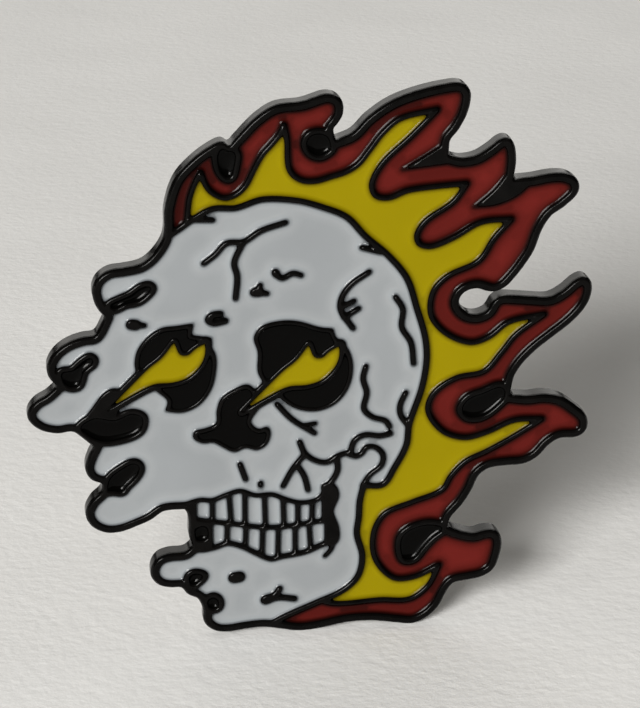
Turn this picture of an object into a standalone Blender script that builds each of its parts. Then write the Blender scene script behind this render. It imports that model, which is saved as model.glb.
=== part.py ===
"""A soft enamel lapel pin: a flaming skull whose left side melts into drips, on a clutch post.

The plate stands upright. Its face looks along -Y, the top of the drawing is +Z, and its flat back
lies in the plane y = 0. The origin is the centre of the post's root on that back, and the post runs
along +Y through the butterfly clutch. All sizes below are in millimetres.
"""

import math

import bmesh
import bpy
import numpy as np
from mathutils import Vector
from mathutils.geometry import delaunay_2d_cdt

MM = 0.001

# Plate and enamel
PLATE_THICKNESS = 1.2
POCKET_DEPTH = 0.45  # from the top of the raised lines down to the pocket floors
ENAMEL_RECESS = 0.2  # from the top of the raised lines down to the enamel
FLUSH_RECESS = 0.04  # in the eyes and the nose, which are filled almost level
ENAMEL_GAP = 0.02  # clearance between a pool of enamel and its pocket
RIM_WIDTH = 0.39
THIN_RIM_WIDTH = 0.26  # beside the black pools between drips and between flames
SKULL_LINE = 0.31
FLAME_LINE = 0.26
TOOTH_LINE = 0.25
SOCKET_RIM = 0.24
GLINT_RIM = 0.24
POOL_RIM = 0.3
LEAST_POOL = 0.12  # mm2, smaller pockets stay solid metal

# Post and spur, along +Y from the plate's back
SOLDER_GAP = 0.02
POST_RADIUS = 0.575
POST_LENGTH = 8.6
PAD_RADIUS = 2.0
PAD_THICKNESS = 0.3
PAD_BEVEL = 0.1
POST_FILLET = 0.25
GROOVE_DEPTH = 0.14  # the waist near the tip, where the clutch's jaws snap in
GROOVE_START = 2.1  # from the tip
GROOVE_END = 1.2
GROOVE_SLOPE = 0.25
TIP_RADIUS = 0.36
TIP_LENGTH = 0.35
SPUR_PLACE = (-7.4, 0.0)
SPUR_LENGTH = 2.4
SPUR_RADIUS = 0.38
SPUR_POINT = 0.8
SPUR_FOOT_RADIUS = 0.85
SPUR_FOOT_HEIGHT = 0.33

# Butterfly clutch, pressed from brass sheet
SHEET = 0.3
FABRIC_GAP = 1.2  # room between the plate and the clutch at rest
POST_HOLE = 0.85
DISC_RADIUS = 5.75
DISC_RIM = 0.85  # height of the rolled rim
DISC_CURL = 0.35
COLLAR_WIDTH = 0.45  # the raised lip round the disc's hole
COLLAR_HEIGHT = 0.22
HEAD_LIFT = 0.75  # from the disc's underside to the head's
HEAD_HALF_X = 2.7
HEAD_HALF_Z = 3.2
HEAD_HEIGHT = 2.9
HEAD_TAPER = 0.72  # width of the cheeks' free ends against their roots
WING_HALF_Z = 2.65
WING_SPAN = 6.9
PIVOT_X = 2.4
JAW_REACH = 1.35  # how far a jaw runs past the post's axis
JAW_HEIGHTS = {"wing_right": 1.35, "wing_left": 2.35}  # above the head's underside
JAW_SLOT = (0.95, 0.68)  # half its length and half its width
TAB_HEIGHT = 4.4
PIVOT_RISE = 0.2  # of the hinge over the jaw
WING_BEND = [(-0.5, 0), (0.05, 0.25), (0.5, 0.8)]  # (x from the pivot, y from the jaw)
WING_TAB = [(-1.9, -0.6), (-0.7, -0.05), (-0.15, -0.1), (0, -0.5)]  # (x from the end, y from the tab)
SIDES = {"needle_post": 20, "anti_spin_spur": 14, "clutch_disc": 36, "hole": 24}

# Drawing grid
CELL = 0.11
BAND = 1.3  # distances are exact up to here
TOLERANCE = 0.045
LEAST_EDGE = 0.07
STEP = 0.12
LOW = (-15.9, -16.9)
HIGH = (15.9, 15.4)

CORNER = True  # a third value in a point: the outline turns sharply there

OUTER_FLAMES = [
    (-7.6, 6.9), (-7.5, 8.4), (-7.0, 9.9), (-6.1, 10.9), (-5.1, 11.6), (-4.55, 11.8), (-4.2, 11.55, CORNER),
    (-3.75, 12.05), (-2.8, 13.0), (-1.8, 13.6), (-0.4, 13.75), (0.9, 14.1), (1.55, 13.8), (1.65, 13.1),
    (1.4, 12.6), (1.15, 12.25), (1.3, 11.65, CORNER), (2.2, 12.0), (3.0, 12.8), (4.2, 13.6), (5.6, 14.1),
    (7.1, 14.4), (7.9, 14.4), (8.3, 13.9), (8.15, 12.9), (7.7, 12.0), (7.25, 11.4), (7.2, 10.6, CORNER),
    (7.9, 10.4), (8.7, 10.5), (9.4, 10.9), (10.0, 11.35), (10.45, 11.35), (10.7, 10.8), (10.75, 10.1),
    (10.65, 9.15, CORNER), (11.7, 9.2), (12.7, 9.35), (13.5, 9.3), (14.1, 8.9), (14.1, 8.3), (13.4, 7.6),
    (12.7, 7.1), (12.2, 6.3), (11.8, 5.2), (11.3, 4.4), (10.8, 3.75), (10.3, 3.25), (9.75, 3.05),
    (8.8, 3.3), (8.1, 3.05), (7.85, 2.5), (8.2, 1.95), (8.8, 1.75), (9.4, 1.95), (9.8, 2.55),
    (10.2, 2.75), (11.0, 2.7), (11.9, 2.6), (12.8, 2.55), (13.5, 2.9), (14.1, 3.4), (14.6, 3.6),
    (14.95, 3.3), (14.95, 2.6), (14.6, 1.85), (13.9, 1.1), (13.0, 0.4), (12.1, -0.3), (11.4, -1.0),
    (10.9, -1.8), (10.7, -2.85, CORNER), (11.7, -3.0), (12.6, -2.95), (13.5, -3.15), (14.3, -3.7),
    (14.9, -4.3), (14.95, -5.0), (14.5, -5.4), (13.5, -5.45), (12.9, -5.8), (12.3, -6.45), (11.6, -6.8),
    (10.6, -6.85), (9.7, -6.95), (9.1, -7.35), (8.7, -8.2), (8.2, -9.0), (7.6, -9.7), (7.4, -10.3, CORNER),
    (8.1, -10.6), (8.9, -10.8), (9.6, -10.65), (10.15, -10.75), (10.4, -11.3), (10.3, -12.1), (10.0, -12.9),
    (9.4, -13.3), (8.6, -13.45), (7.8, -13.6), (7.4, -14.1), (7.0, -14.9), (6.4, -15.5), (5.6, -15.85),
    (4.7, -15.75), (3.4, -15.55), (2.0, -15.55), (0.5, -15.8), (-0.6, -15.9), (-1.7, -15.7),
]
OUTER_DRIPS = [
    (-2.6, -15.55), (-3.6, -15.6), (-4.5, -15.7), (-5.2, -15.6), (-5.75, -15.1), (-5.8, -14.3),
    (-6.1, -13.65), (-6.6, -13.4), (-7.0, -12.95), (-7.6, -12.9), (-8.15, -12.75), (-8.55, -12.3),
    (-8.55, -11.7), (-8.2, -11.2), (-7.6, -11.0), (-6.8, -10.95), (-6.35, -10.6, CORNER), (-6.5, -9.95),
    (-6.5, -9.3), (-6.55, -8.75), (-6.75, -8.4, CORNER), (-7.9, -8.45), (-8.6, -8.9), (-9.3, -9.2),
    (-10.2, -9.5),
    (-11.0, -9.5), (-11.7, -9.1), (-12.0, -8.4), (-11.7, -7.7), (-11.15, -7.15), (-11.1, -6.7, CORNER),
    (-11.7, -6.4), (-11.95, -5.8), (-11.75, -5.1), (-11.5, -4.6, CORNER), (-12.0, -4.1), (-12.6, -3.65),
    (-13.4, -3.7), (-14.2, -3.5), (-14.8, -3.0), (-14.9, -2.5), (-14.5, -1.95), (-13.9, -1.6),
    (-13.35, -1.1, CORNER), (-13.75, -0.5), (-13.8, 0.05), (-13.4, 0.75), (-12.7, 1.25), (-11.9, 1.5),
    (-11.3, 1.6), (-10.75, 2.6, CORNER), (-11.2, 3.3), (-11.35, 4.1), (-11.1, 4.7), (-10.5, 5.1),
    (-9.7, 5.2), (-8.8, 5.4), (-8.1, 6.0),
]
SKULL = [  # centre of the line between skull and flames, closed outside the plate
    (-8.2, 6.4, CORNER), (-6.9, 7.2), (-6.1, 7.75), (-5.1, 8.25), (-3.9, 8.25), (-2.5, 8.65), (-0.7, 8.5),
    (0.6, 8.1), (1.9, 7.5), (2.9, 6.4), (4.1, 5.3), (5.1, 4.0), (5.65, 2.3), (6.1, 0.7), (6.2, -0.6),
    (5.95, -2.2), (5.3, -4.2), (5.15, -5.4), (4.5, -6.7), (3.9, -7.6), (2.85, -7.6, CORNER), (2.65, -8.5),
    (2.6, -9.4), (2.5, -10.4), (2.8, -11.7), (2.55, -12.9), (1.7, -13.7), (0.3, -14.3), (-1.6, -15.1),
    (-3.2, -16.0, CORNER), (-3.2, -16.8, CORNER), (-15.8, -16.8, CORNER), (-15.8, 6.4, CORNER),
]
FLAME_CORE = [  # centre of the line between the two flame colours, closed inside the skull
    (-6.7, 6.9, CORNER), (-6.45, 7.6), (-6.37, 8.25), (-6.3, 8.8), (-6.13, 9.35), (-5.87, 9.95),
    (-5.69, 10.25, CORNER), (-5.45, 9.55), (-5.1, 9.1), (-4.5, 8.8), (-3.9, 8.95), (-3.38, 9.42),
    (-2.95, 10.25), (-2.5, 11.05), (-2.0, 11.6), (-1.6, 12.1), (-1.38, 12.6, CORNER), (-1.22, 11.75),
    (-1.2, 10.8), (-1.12, 10.25), (-0.85, 9.83), (-0.35, 9.55), (0.3, 9.52), (1.0, 9.7), (1.85, 9.95),
    (2.5, 10.35), (3.1, 11.1), (3.8, 12.0), (4.7, 12.7), (6.6, 13.1, CORNER),
    (5.2, 11.7), (3.8, 10.4), (3.2, 9.3),
    (3.4, 8.6), (4.1, 8.45), (5.1, 8.8), (6.5, 8.95), (8.2, 9.05, CORNER), (7.5, 8.1), (6.1, 7.15),
    (5.6, 6.4), (5.75, 5.85), (6.4, 5.7), (7.6, 6.15), (9.0, 6.9), (10.6, 7.0, CORNER), (9.7, 6.0),
    (8.9, 4.8), (7.3, 4.05), (6.5, 3.2), (6.4, 1.9), (7.2, 0.85), (8.5, 0.25), (9.5, 0.5), (10.6, 1.3),
    (12.5, 1.65, CORNER), (11.0, 0.6), (10.2, -0.4), (9.3, -1.4), (7.8, -1.7), (6.6, -2.5), (6.3, -3.5),
    (7.1, -4.7), (8.3, -5.15), (9.5, -4.9), (11.0, -4.3), (12.5, -4.3, CORNER), (11.0, -5.2), (9.6, -5.95),
    (8.4, -6.5), (7.6, -7.3), (7.1, -8.1), (5.5, -8.7), (4.0, -9.3), (3.4, -10.4), (3.5, -11.9),
    (4.5, -13.1), (5.7, -13.1), (7.0, -12.5, CORNER), (6.4, -13.7), (5.4, -14.4), (3.8, -14.35),
    (1.2, -14.4), (-0.2, -13.8, CORNER), (-4.0, -9.0, CORNER), (-4.0, 3.0, CORNER),
]
LEFT_SOCKET = [
    (-9.2, -0.5), (-9.2, 0.5), (-8.7, 1.3), (-7.9, 1.85), (-7.0, 1.95), (-6.15, 2.05, CORNER),
    (-6.3, 1.4, CORNER), (-5.75, 1.3), (-5.2, 1.2, CORNER), (-5.3, 0.8), (-5.05, 0.3), (-5.0, -0.4),
    (-5.25, -1.6), (-5.9, -2.5), (-6.8, -2.9), (-7.75, -2.8, CORNER), (-7.6, -2.2), (-8.1, -1.7),
]
RIGHT_SOCKET = [
    (-2.75, -1.0), (-2.8, 0.3), (-3.0, 1.1), (-2.6, 1.7), (-1.7, 1.95), (-0.7, 1.9), (0.5, 1.5),
    (1.2, 1.4, CORNER), (1.35, 0.9), (2.0, 0.2), (2.25, -0.8), (2.0, -2.0), (1.3, -2.85),
    (0.3, -3.2), (-0.8, -3.0), (-1.7, -2.3),
]
NOSE = [
    (-5.0, -2.9), (-4.75, -2.2), (-4.1, -1.75), (-3.4, -1.5), (-3.0, -1.8), (-2.7, -2.7), (-3.2, -3.6),
    (-2.8, -4.05), (-2.3, -3.95), (-2.15, -4.4), (-2.4, -5.0), (-2.9, -5.25), (-3.5, -5.1), (-4.1, -5.3),
    (-4.7, -5.0), (-5.2, -4.7), (-5.8, -4.7), (-6.25, -4.4), (-6.2, -4.0), (-5.6, -3.85), (-5.05, -3.6),
]
GLINT = [  # one lick of flame, drawn about the middle of an eye
    (-3.7, -2.15, CORNER), (-2.5, -0.95), (-1.5, 0.05), (-0.75, 0.65), (-0.1, 1.5, CORNER), (0.2, 0.75),
    (0.6, 0.7), (0.95, 1.0), (1.55, 1.35, CORNER), (1.5, 0.6), (1.2, 0.0), (0.6, -0.55), (-0.2, -0.8),
    (-1.2, -0.85), (-2.3, -1.35),
]
GLINT_PLACES = {"left_eye_glint": (-7.1, -0.4), "right_eye_glint": (0.0, -0.9)}
GLINT_LINE = 0.34

BLACK_POOLS = {
    "drip_gap_pool_1": [
        (-10.5, 3.25), (-10.0, 3.5), (-9.4, 3.75), (-8.9, 4.1), (-8.5, 4.2), (-8.35, 4.05),
        (-8.7, 3.65), (-9.1, 3.4), (-9.7, 3.3), (-10.3, 3.05),
    ],
    "drip_gap_pool_2": [
        (-13.1, -0.35), (-12.55, -0.27), (-12.1, 0.12), (-11.65, 0.4), (-11.47, 0.28), (-11.5, 0.08),
        (-11.8, -0.15), (-12.02, -0.4), (-12.12, -0.8), (-12.3, -1.12), (-12.7, -1.15), (-13.0, -0.9),
    ],
    "drip_gap_pool_3": [
        (-12.2, -3.5), (-11.5, -3.0), (-10.4, -3.15), (-9.5, -2.85), (-8.95, -3.1), (-9.1, -3.8),
        (-10.0, -4.2), (-11.2, -4.25),
    ],
    "drip_gap_pool_4": [
        (-10.75, -6.5), (-10.5, -6.2), (-10.0, -5.87), (-9.7, -5.7), (-9.4, -5.65), (-9.2, -5.8),
        (-9.17, -6.05), (-9.4, -6.45), (-9.9, -6.95), (-10.1, -7.2), (-10.5, -7.15), (-10.9, -7.1),
    ],
    "jaw_hinge_pool": [
        (-6.25, -9.6), (-5.65, -9.5), (-5.55, -10.05), (-5.85, -10.3), (-6.25, -10.15),
    ],
    "jaw_drip_pool_1": [
        (-6.6, -12.4), (-6.3, -12.2), (-5.85, -12.35), (-6.1, -12.65), (-6.45, -12.85),
    ],
    "jaw_drip_pool_2": [
        (-5.6, -13.8), (-5.3, -13.65), (-5.05, -13.85), (-5.05, -14.2), (-5.35, -14.32), (-5.6, -14.1),
    ],
    "flame_gap_pool_1": [
        (-4.6, 11.45), (-4.8, 11.1), (-4.75, 10.53), (-4.55, 10.1), (-4.26, 9.9), (-4.08, 10.05),
        (-3.95, 10.6), (-3.9, 11.1), (-4.1, 11.35),
    ],
    "flame_gap_pool_2": [
        (-0.2, 11.6), (-0.1, 11.25), (0.15, 11.0), (0.5, 10.9), (0.85, 11.05), (1.05, 11.25),
        (1.0, 11.6), (0.85, 11.9), (0.45, 12.05), (0.0, 11.95),
    ],
    "flame_gap_pool_3": [
        (8.15, -3.5), (8.5, -2.95), (9.3, -2.65), (10.2, -2.35), (10.5, -2.8), (9.9, -3.5),
        (9.2, -3.95), (8.5, -3.95),
    ],
    "flame_gap_pool_4": [
        (4.9, -11.4), (5.0, -10.7), (5.6, -10.25), (6.5, -10.1), (7.2, -10.35), (6.6, -10.85),
        (6.1, -11.4), (5.6, -12.0), (5.1, -12.0),
    ],
}
SOLID_WEDGES = [
    [(4.8, 9.95, CORNER), (6.0, 10.65), (7.2, 11.4, CORNER), (8.8, 10.3, CORNER), (6.8, 10.15)],
    [(-12.3, -3.3, CORNER), (-11.65, -2.5), (-11.0, -1.65), (-10.45, -1.35), (-9.9, -1.5, CORNER),
     (-10.2, -2.6), (-10.6, -3.2, CORNER), (-11.6, -3.4)],
    [(8.6, 7.75, CORNER), (9.7, 8.7), (10.6, 9.9, CORNER), (11.9, 9.2, CORNER), (10.9, 8.3), (9.8, 7.85)],
]
MOUTH = [
    (-7.2, -8.3, CORNER), (-6.0, -7.95), (-5.3, -8.0), (-4.6, -7.75), (-3.8, -7.55), (-3.0, -7.85),
    (-2.1, -7.85), (-1.4, -8.15), (-0.6, -8.4), (0.3, -8.3), (0.7, -7.9), (0.7, -7.5), (1.2, -7.55),
    (1.4, -8.1), (1.1, -9.0), (1.4, -10.0), (1.35, -10.75), (0.7, -10.9), (-0.3, -11.3), (-1.6, -11.5),
    (-2.2, -11.6), (-3.0, -11.2), (-3.7, -10.8), (-4.5, -10.55), (-5.2, -10.75), (-6.0, -10.85),
    (-7.2, -10.6, CORNER),
]
BITE = [(-6.3, -9.05), (-5.6, -9.2), (-4.2, -9.45), (-2.5, -9.75), (-1.2, -9.75), (0.2, -9.6), (1.1, -9.5)]
TEETH_START_X = (-6.15, -5.3)  # upper and lower rows
TEETH_END_X = (0.6, 0.75)
UPPER_GAPS = [((-5.3, -7.9), (-5.3, -9.3)), ((-4.4, -7.7), (-4.3, -9.4)), ((-3.55, -7.5), (-3.55, -9.6)),
              ((-2.5, -7.8), (-2.45, -9.8)), ((-1.5, -8.1), (-1.45, -9.8)), ((-0.7, -8.3), (-0.7, -9.8)),
              ((0.1, -8.2), (0.05, -9.6))]
LOWER_GAPS = [((-4.5, -9.4), (-4.55, -10.7)), ((-3.5, -9.6), (-3.55, -10.9)), ((-2.6, -9.8), (-2.65, -11.4)),
              ((-1.75, -9.8), (-1.8, -11.6)), ((-0.85, -9.8), (-0.85, -11.4)), ((-0.1, -9.6), (0.0, -11.3))]
CRACKS = [  # free lines on the skull: (width, points)
    (0.3, [(-5.6, 5.3), (-5.0, 5.75), (-4.4, 6.35), (-3.5, 6.4), (-2.6, 6.95), (-1.3, 7.35)]),
    (0.3, [(-3.5, 6.4), (-4.0, 5.3), (-3.85, 4.5), (-3.95, 3.3)]),
    (0.3, [(-6.0, 7.7), (-5.1, 7.65)]),
    (0.3, [(3.7, 5.5), (2.7, 5.8)]),
    (0.58, [(-9.42, 2.13), (-9.2, 2.1)]),
    (0.29, [(-9.2, 2.1), (-8.75, 2.05)]),
    (0.35, [(-4.75, 2.5), (-5.2, 2.45), (-5.4, 2.2), (-5.15, 2.0), (-4.5, 2.1)]),
    (0.5, [(-2.95, 3.6), (-2.7, 3.6)]),
    (0.3, [(-2.75, 3.75), (-2.65, 3.98)]),
    (0.29, [(-2.6, 3.55), (-2.3, 3.5)]),
    (0.41, [(-1.85, 4.65), (-1.8, 4.55)]),
    (0.29, [(-1.8, 4.5), (-1.5, 4.3), (-0.95, 4.55), (-0.5, 4.42)]),
    (0.3, [(3.1, 4.45), (2.15, 3.8), (1.65, 3.1), (1.6, 2.4), (2.25, 1.35)]),
    (0.29, [(1.65, 2.6), (1.95, 2.7), (2.3, 2.88)]),
    (0.29, [(1.75, 2.0), (2.05, 2.15), (2.55, 2.45)]),
    (0.29, [(4.5, 3.0), (4.9, 2.3), (4.85, 1.3), (5.35, 0.4), (5.5, -0.8)]),
    (0.29, [(2.95, -0.8), (2.8, -1.5), (3.0, -2.3), (2.85, -3.2), (3.3, -3.7), (4.0, -3.95), (4.25, -4.3)]),
    (0.29, [(5.1, -2.4), (4.8, -3.1), (4.85, -3.7), (5.35, -4.4)]),
    (0.3, [(2.1, -5.8), (2.35, -5.0), (2.9, -4.7), (3.7, -4.8), (4.3, -4.7)]),
    (0.29, [(-0.6, -4.9), (-0.3, -5.6), (0.3, -6.05), (0.9, -6.15), (1.4, -5.85), (1.9, -5.7), (2.4, -5.9),
            (2.75, -5.75), (3.0, -5.4), (3.5, -5.45), (3.9, -5.9), (3.8, -6.5), (3.2, -7.0), (2.8, -7.6)]),
    (0.3, [(1.4, -5.9), (1.45, -6.6), (1.2, -7.15), (0.8, -7.6)]),
    (0.29, [(-0.3, -5.6), (-0.95, -6.4), (-1.5, -7.4)]),
    (0.29, [(-0.75, -6.2), (-0.35, -6.9), (-0.15, -7.7)]),
    (0.29, [(-1.8, -2.7), (-1.0, -3.6), (0.2, -4.45)]),
    (0.24, [(-0.5, -4.0), (0.25, -3.9)]),
    (0.29, [(-3.8, -6.0), (-3.5, -6.9)]),
    (0.3, [(-2.7, -7.15), (-2.7, -7.3)]),
    (0.62, [(-4.18, -12.57), (-3.88, -12.53)]),
    (0.54, [(-2.48, -13.98), (-2.25, -13.9)]),
    (0.34, [(-2.3, -13.85), (-1.95, -13.7), (-1.7, -13.35)]),
    (0.34, [(-2.2, -13.95), (-1.7, -13.88), (-0.9, -14.0)]),
    (0.24, [(1.25, -10.7), (1.1, -11.2), (0.75, -11.6)]),
]

BLACK_METAL = ((0.012, 0.011, 0.011), 0.28, 0.9)
PLATED_STEEL = ((0.62, 0.6, 0.56), 0.3, 1.0)
GILT_BRASS = ((0.78, 0.62, 0.33), 0.32, 1.0)
WHITE = ((0.6, 0.62, 0.66), 0.25, 0.0)
YELLOW = ((0.52, 0.41, 0.01), 0.25, 0.0)
RED = ((0.16, 0.02, 0.02), 0.25, 0.0)
BLACK = ((0.01, 0.01, 0.01), 0.25, 0.0)


# Curves and distance fields over the drawing grid

def curve(points, closed):
    """A smooth line through the points, broken at corners, as an array of close samples."""
    places = np.array([point[:2] for point in points], float)
    sharp = [len(point) > 2 for point in points]
    count = len(points)
    samples = []
    for i in range(count if closed else count - 1):
        j = (i + 1) % count
        start, end = places[i], places[j]
        before = start if sharp[i] or (i == 0 and not closed) else places[i - 1]
        after = end if sharp[j] or (j == count - 1 and not closed) else places[(j + 1) % count]
        length = np.linalg.norm(end - start)
        leave = (end - before) * length / (length + np.linalg.norm(start - before))
        arrive = (after - start) * length / (length + np.linalg.norm(after - end))
        t = np.linspace(0, 1, max(2, int(length / STEP) + 1), endpoint=False)[:, None]
        samples.append(
            (2 * t**3 - 3 * t**2 + 1) * start + (t**3 - 2 * t**2 + t) * leave
            + (3 * t**2 - 2 * t**3) * end + (t**3 - t**2) * arrive
        )
    if not closed:
        samples.append(places[-1:])
    return np.concatenate(samples)


class Grid:
    """Signed distances over the drawing, in mm, negative inside a shape."""

    def __init__(self, low, high, cell):
        self.low = np.array(low)
        self.cell = cell
        self.xs = np.arange(low[0], high[0] + cell, cell)
        self.zs = np.arange(low[1], high[1] + cell, cell)

    def window(self, near, far):
        first = np.maximum(np.floor((near - self.low - BAND) / self.cell).astype(int), 0)
        last = np.ceil((far - self.low + BAND) / self.cell).astype(int) + 1
        return slice(first[0], last[0]), slice(first[1], last[1])

    def stroke(self, points, width):
        """A line of this width with round ends."""
        return self.distance(curve(points, False), False) - width / 2

    def shape(self, points):
        outline = curve(points, True)
        return np.where(self.inside(outline), -1, 1) * self.distance(outline, True)

    def distance(self, outline, closed):
        field = np.full((len(self.xs), len(self.zs)), BAND)
        ends = np.roll(outline, -1, axis=0)
        for a, b in zip(outline if closed else outline[:-1], ends):
            along_x, along_z = self.window(np.minimum(a, b), np.maximum(a, b))
            x = self.xs[along_x, None] - a[0]
            z = self.zs[None, along_z] - a[1]
            step = b - a
            t = np.clip((x * step[0] + z * step[1]) / max(step @ step, 1e-12), 0, 1)
            near = np.hypot(x - t * step[0], z - t * step[1])
            field[along_x, along_z] = np.minimum(field[along_x, along_z], near)
        return field

    def inside(self, outline):
        """Even-odd test of every grid point, one edge at a time."""
        inside = np.zeros((len(self.xs), len(self.zs)), bool)
        for a, b in zip(outline, np.roll(outline, -1, axis=0)):
            rows = np.flatnonzero((self.zs > min(a[1], b[1])) & (self.zs <= max(a[1], b[1])))
            for row in rows:
                x = a[0] + (self.zs[row] - a[1]) * (b[0] - a[0]) / (b[1] - a[1])
                inside[: np.searchsorted(self.xs, x), row] ^= True
        return inside

    def contours(self, field):
        """Closed loops round the negative side of the field, anticlockwise round its islands."""
        low = field < 0
        links = {}
        cells = low[:-1, :-1].astype(int) + 2 * low[1:, :-1] + 4 * low[1:, 1:] + 8 * low[:-1, 1:]
        sides = {
            1: [(0, 3)], 2: [(1, 0)], 3: [(1, 3)], 4: [(2, 1)], 6: [(2, 0)], 7: [(2, 3)],
            8: [(3, 2)], 9: [(0, 2)], 11: [(1, 2)], 12: [(3, 1)], 13: [(0, 1)], 14: [(3, 0)],
            5: [(0, 3), (2, 1)], 10: [(1, 0), (3, 2)],
        }
        for i, j in zip(*np.nonzero((cells > 0) & (cells < 15))):
            edges = ((i, j, 0), (i + 1, j, 1), (i, j + 1, 0), (i, j, 1))
            for start, end in sides[cells[i, j]]:
                links[edges[start]] = edges[end]
        loops = []
        while links:
            first = next(iter(links))
            edge = first
            loop = []
            while True:
                loop.append(self.crossing(field, edge))
                edge = links.pop(edge)
                if edge == first:
                    break
            loops.append(np.array(loop))
        return loops

    def crossing(self, field, edge):
        i, j, upright = edge
        here = field[i, j]
        there = field[i, j + 1] if upright else field[i + 1, j]
        share = np.clip(here / (here - there), 0.02, 0.98) * self.cell
        return (self.xs[i] + (0 if upright else share), self.zs[j] + (share if upright else 0))


def area(loop):
    x, z = loop.T
    return 0.5 * float(np.sum(x * np.roll(z, -1) - np.roll(x, -1) * z))


def holds(loop, point):
    """Whether the loop goes round the point."""
    (x, z), (next_x, next_z) = loop.T, np.roll(loop, -1, axis=0).T
    crosses = (z > point[1]) != (next_z > point[1])
    at = x[crosses] + (point[1] - z[crosses]) * (next_x - x)[crosses] / (next_z - z)[crosses]
    return bool(np.sum(at > point[0]) % 2)


def simplified(loop, tolerance):
    """The loop with only the points that keep it within the tolerance (Douglas-Peucker)."""
    far = int(np.argmax(np.linalg.norm(loop - loop[0], axis=1)))
    keep = {0, far}
    closed = np.concatenate([loop, loop[:1]])
    spans = [(0, far), (far, len(loop))]
    while spans:
        first, last = spans.pop()
        if last - first < 2:
            continue
        start, chord = closed[first], closed[last] - closed[first]
        away = closed[first + 1 : last] - start
        length = max(float(np.linalg.norm(chord)), 1e-9)
        miss = np.abs(away[:, 0] * chord[1] - away[:, 1] * chord[0]) / length
        if miss.max() > tolerance:
            middle = first + 1 + int(miss.argmax())
            keep.add(middle)
            spans += [(first, middle), (middle, last)]
    kept = loop[sorted(keep)]
    return kept[np.linalg.norm(np.roll(kept, -1, axis=0) - kept, axis=1) > LEAST_EDGE]


def shrunk(loop, by):
    """The loop moved towards its own left side, so a pool draws in and an island grows."""
    ahead = np.roll(loop, -1, axis=0) - loop
    ahead /= np.linalg.norm(ahead, axis=1)[:, None]
    left = np.stack([-ahead[:, 1], ahead[:, 0]], axis=1)
    both = left + np.roll(left, 1, axis=0)
    scale = np.maximum(np.sum(both * left, axis=1), 0.5)
    return loop + by * both / scale[:, None]


def pools(field, grid):
    """Each separate region below zero, largest first, as its outline and then its islands."""
    loops = [simplified(loop, TOLERANCE) for loop in grid.contours(field)]
    loops = [loop for loop in loops if len(loop) > 2]
    outlines = sorted((loop for loop in loops if area(loop) > LEAST_POOL), key=area, reverse=True)
    groups = [[outline] for outline in outlines]
    for island in (loop for loop in loops if area(loop) < 0):
        around = [group for group in groups if holds(group[0], island[0])]
        if around:
            around[-1].append(island)
    return groups


# Drawing

def moved(points, by):
    return [(point[0] + by[0], point[1] + by[1], *point[2:]) for point in points]


def drawing(grid):
    """The plate's outline, and the pocket of each pool of enamel, by node name."""
    plate = grid.shape(OUTER_FLAMES + OUTER_DRIPS)
    skull = grid.shape(SKULL)
    core = grid.shape(FLAME_CORE)
    mouth = grid.shape(MOUTH)
    black = {name: grid.shape(points) for name, points in BLACK_POOLS.items()}
    wedges = np.minimum.reduce([grid.shape(points) for points in SOLID_WEDGES])
    glints = {name: grid.shape(moved(GLINT, place)) for name, place in GLINT_PLACES.items()}
    sockets = {"left": grid.shape(LEFT_SOCKET), "right": grid.shape(RIGHT_SOCKET)}
    nose = grid.shape(NOSE)
    glint = np.minimum.reduce(list(glints.values()))
    cracks = np.minimum.reduce([grid.stroke(points, width) for width, points in CRACKS])
    gaps = [grid.stroke(points, TOOTH_LINE) for points in [BITE, *UPPER_GAPS, *LOWER_GAPS]]

    inner = np.maximum.reduce(
        [plate + RIM_WIDTH, wedges * -1] + [POOL_RIM - field for field in black.values()]
    )
    holes = np.minimum.reduce([glint - GLINT_LINE, mouth - TOOTH_LINE / 2, cracks, nose, *sockets.values()])
    white = np.maximum.reduce([inner, skull + SKULL_LINE / 2, -holes])
    yellow = np.maximum.reduce([inner, SKULL_LINE / 2 - skull, core + FLAME_LINE / 2])
    red = np.maximum.reduce([inner, SKULL_LINE / 2 - skull, FLAME_LINE / 2 - core])

    found = {}
    face, jaw = pools(white, grid)[:2]
    found["skull_enamel"] = face
    found["jaw_enamel"] = jaw
    found["flame_core_enamel"] = pools(yellow, grid)[0]
    found["flame_rim_enamel"] = pools(red, grid)[0]
    for name, field in black.items():
        found[name] = pools(np.maximum(field, plate + THIN_RIM_WIDTH), grid)[0]
    found["nose_pool"] = pools(np.maximum(nose + SOCKET_RIM, GLINT_RIM - glint), grid)[0]
    for side, field in sockets.items():
        halves = pools(np.maximum(field + SOCKET_RIM, GLINT_RIM - glint), grid)[:2]
        halves.sort(key=lambda group: group[0][:, 1].mean())
        found[f"{side}_eye_pool_lower"], found[f"{side}_eye_pool_upper"] = halves
    for name, field in glints.items():
        found[name] = pools(field, grid)[0]
    gaps += [field - TOOTH_LINE / 2 for field in black.values()]
    found.update(teeth(mouth, gaps, grid))
    outline = simplified(max(grid.contours(plate), key=area), TOLERANCE)
    return outline, found


def teeth(mouth, gaps, grid):
    """The pocket of each tooth, numbered from the left of the face."""
    bite = curve(BITE, False)
    bite_z = np.interp(grid.xs, bite[:, 0], bite[:, 1])[:, None]
    found = {}
    rows = (("upper", bite_z - grid.zs[None, :]), ("lower", grid.zs[None, :] - bite_z))
    for (row, side), start, end in zip(rows, TEETH_START_X, TEETH_END_X):
        ends = np.maximum(start - grid.xs, grid.xs - end)[:, None]
        band = np.maximum.reduce([mouth + TOOTH_LINE / 2, side, ends + 0 * side] + [-gap for gap in gaps])
        groups = sorted(pools(band, grid), key=lambda group: group[0][:, 0].mean())
        for number, group in enumerate(groups, 1):
            found[f"{row}_tooth_{number}"] = group
    return found


# Solids

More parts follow.
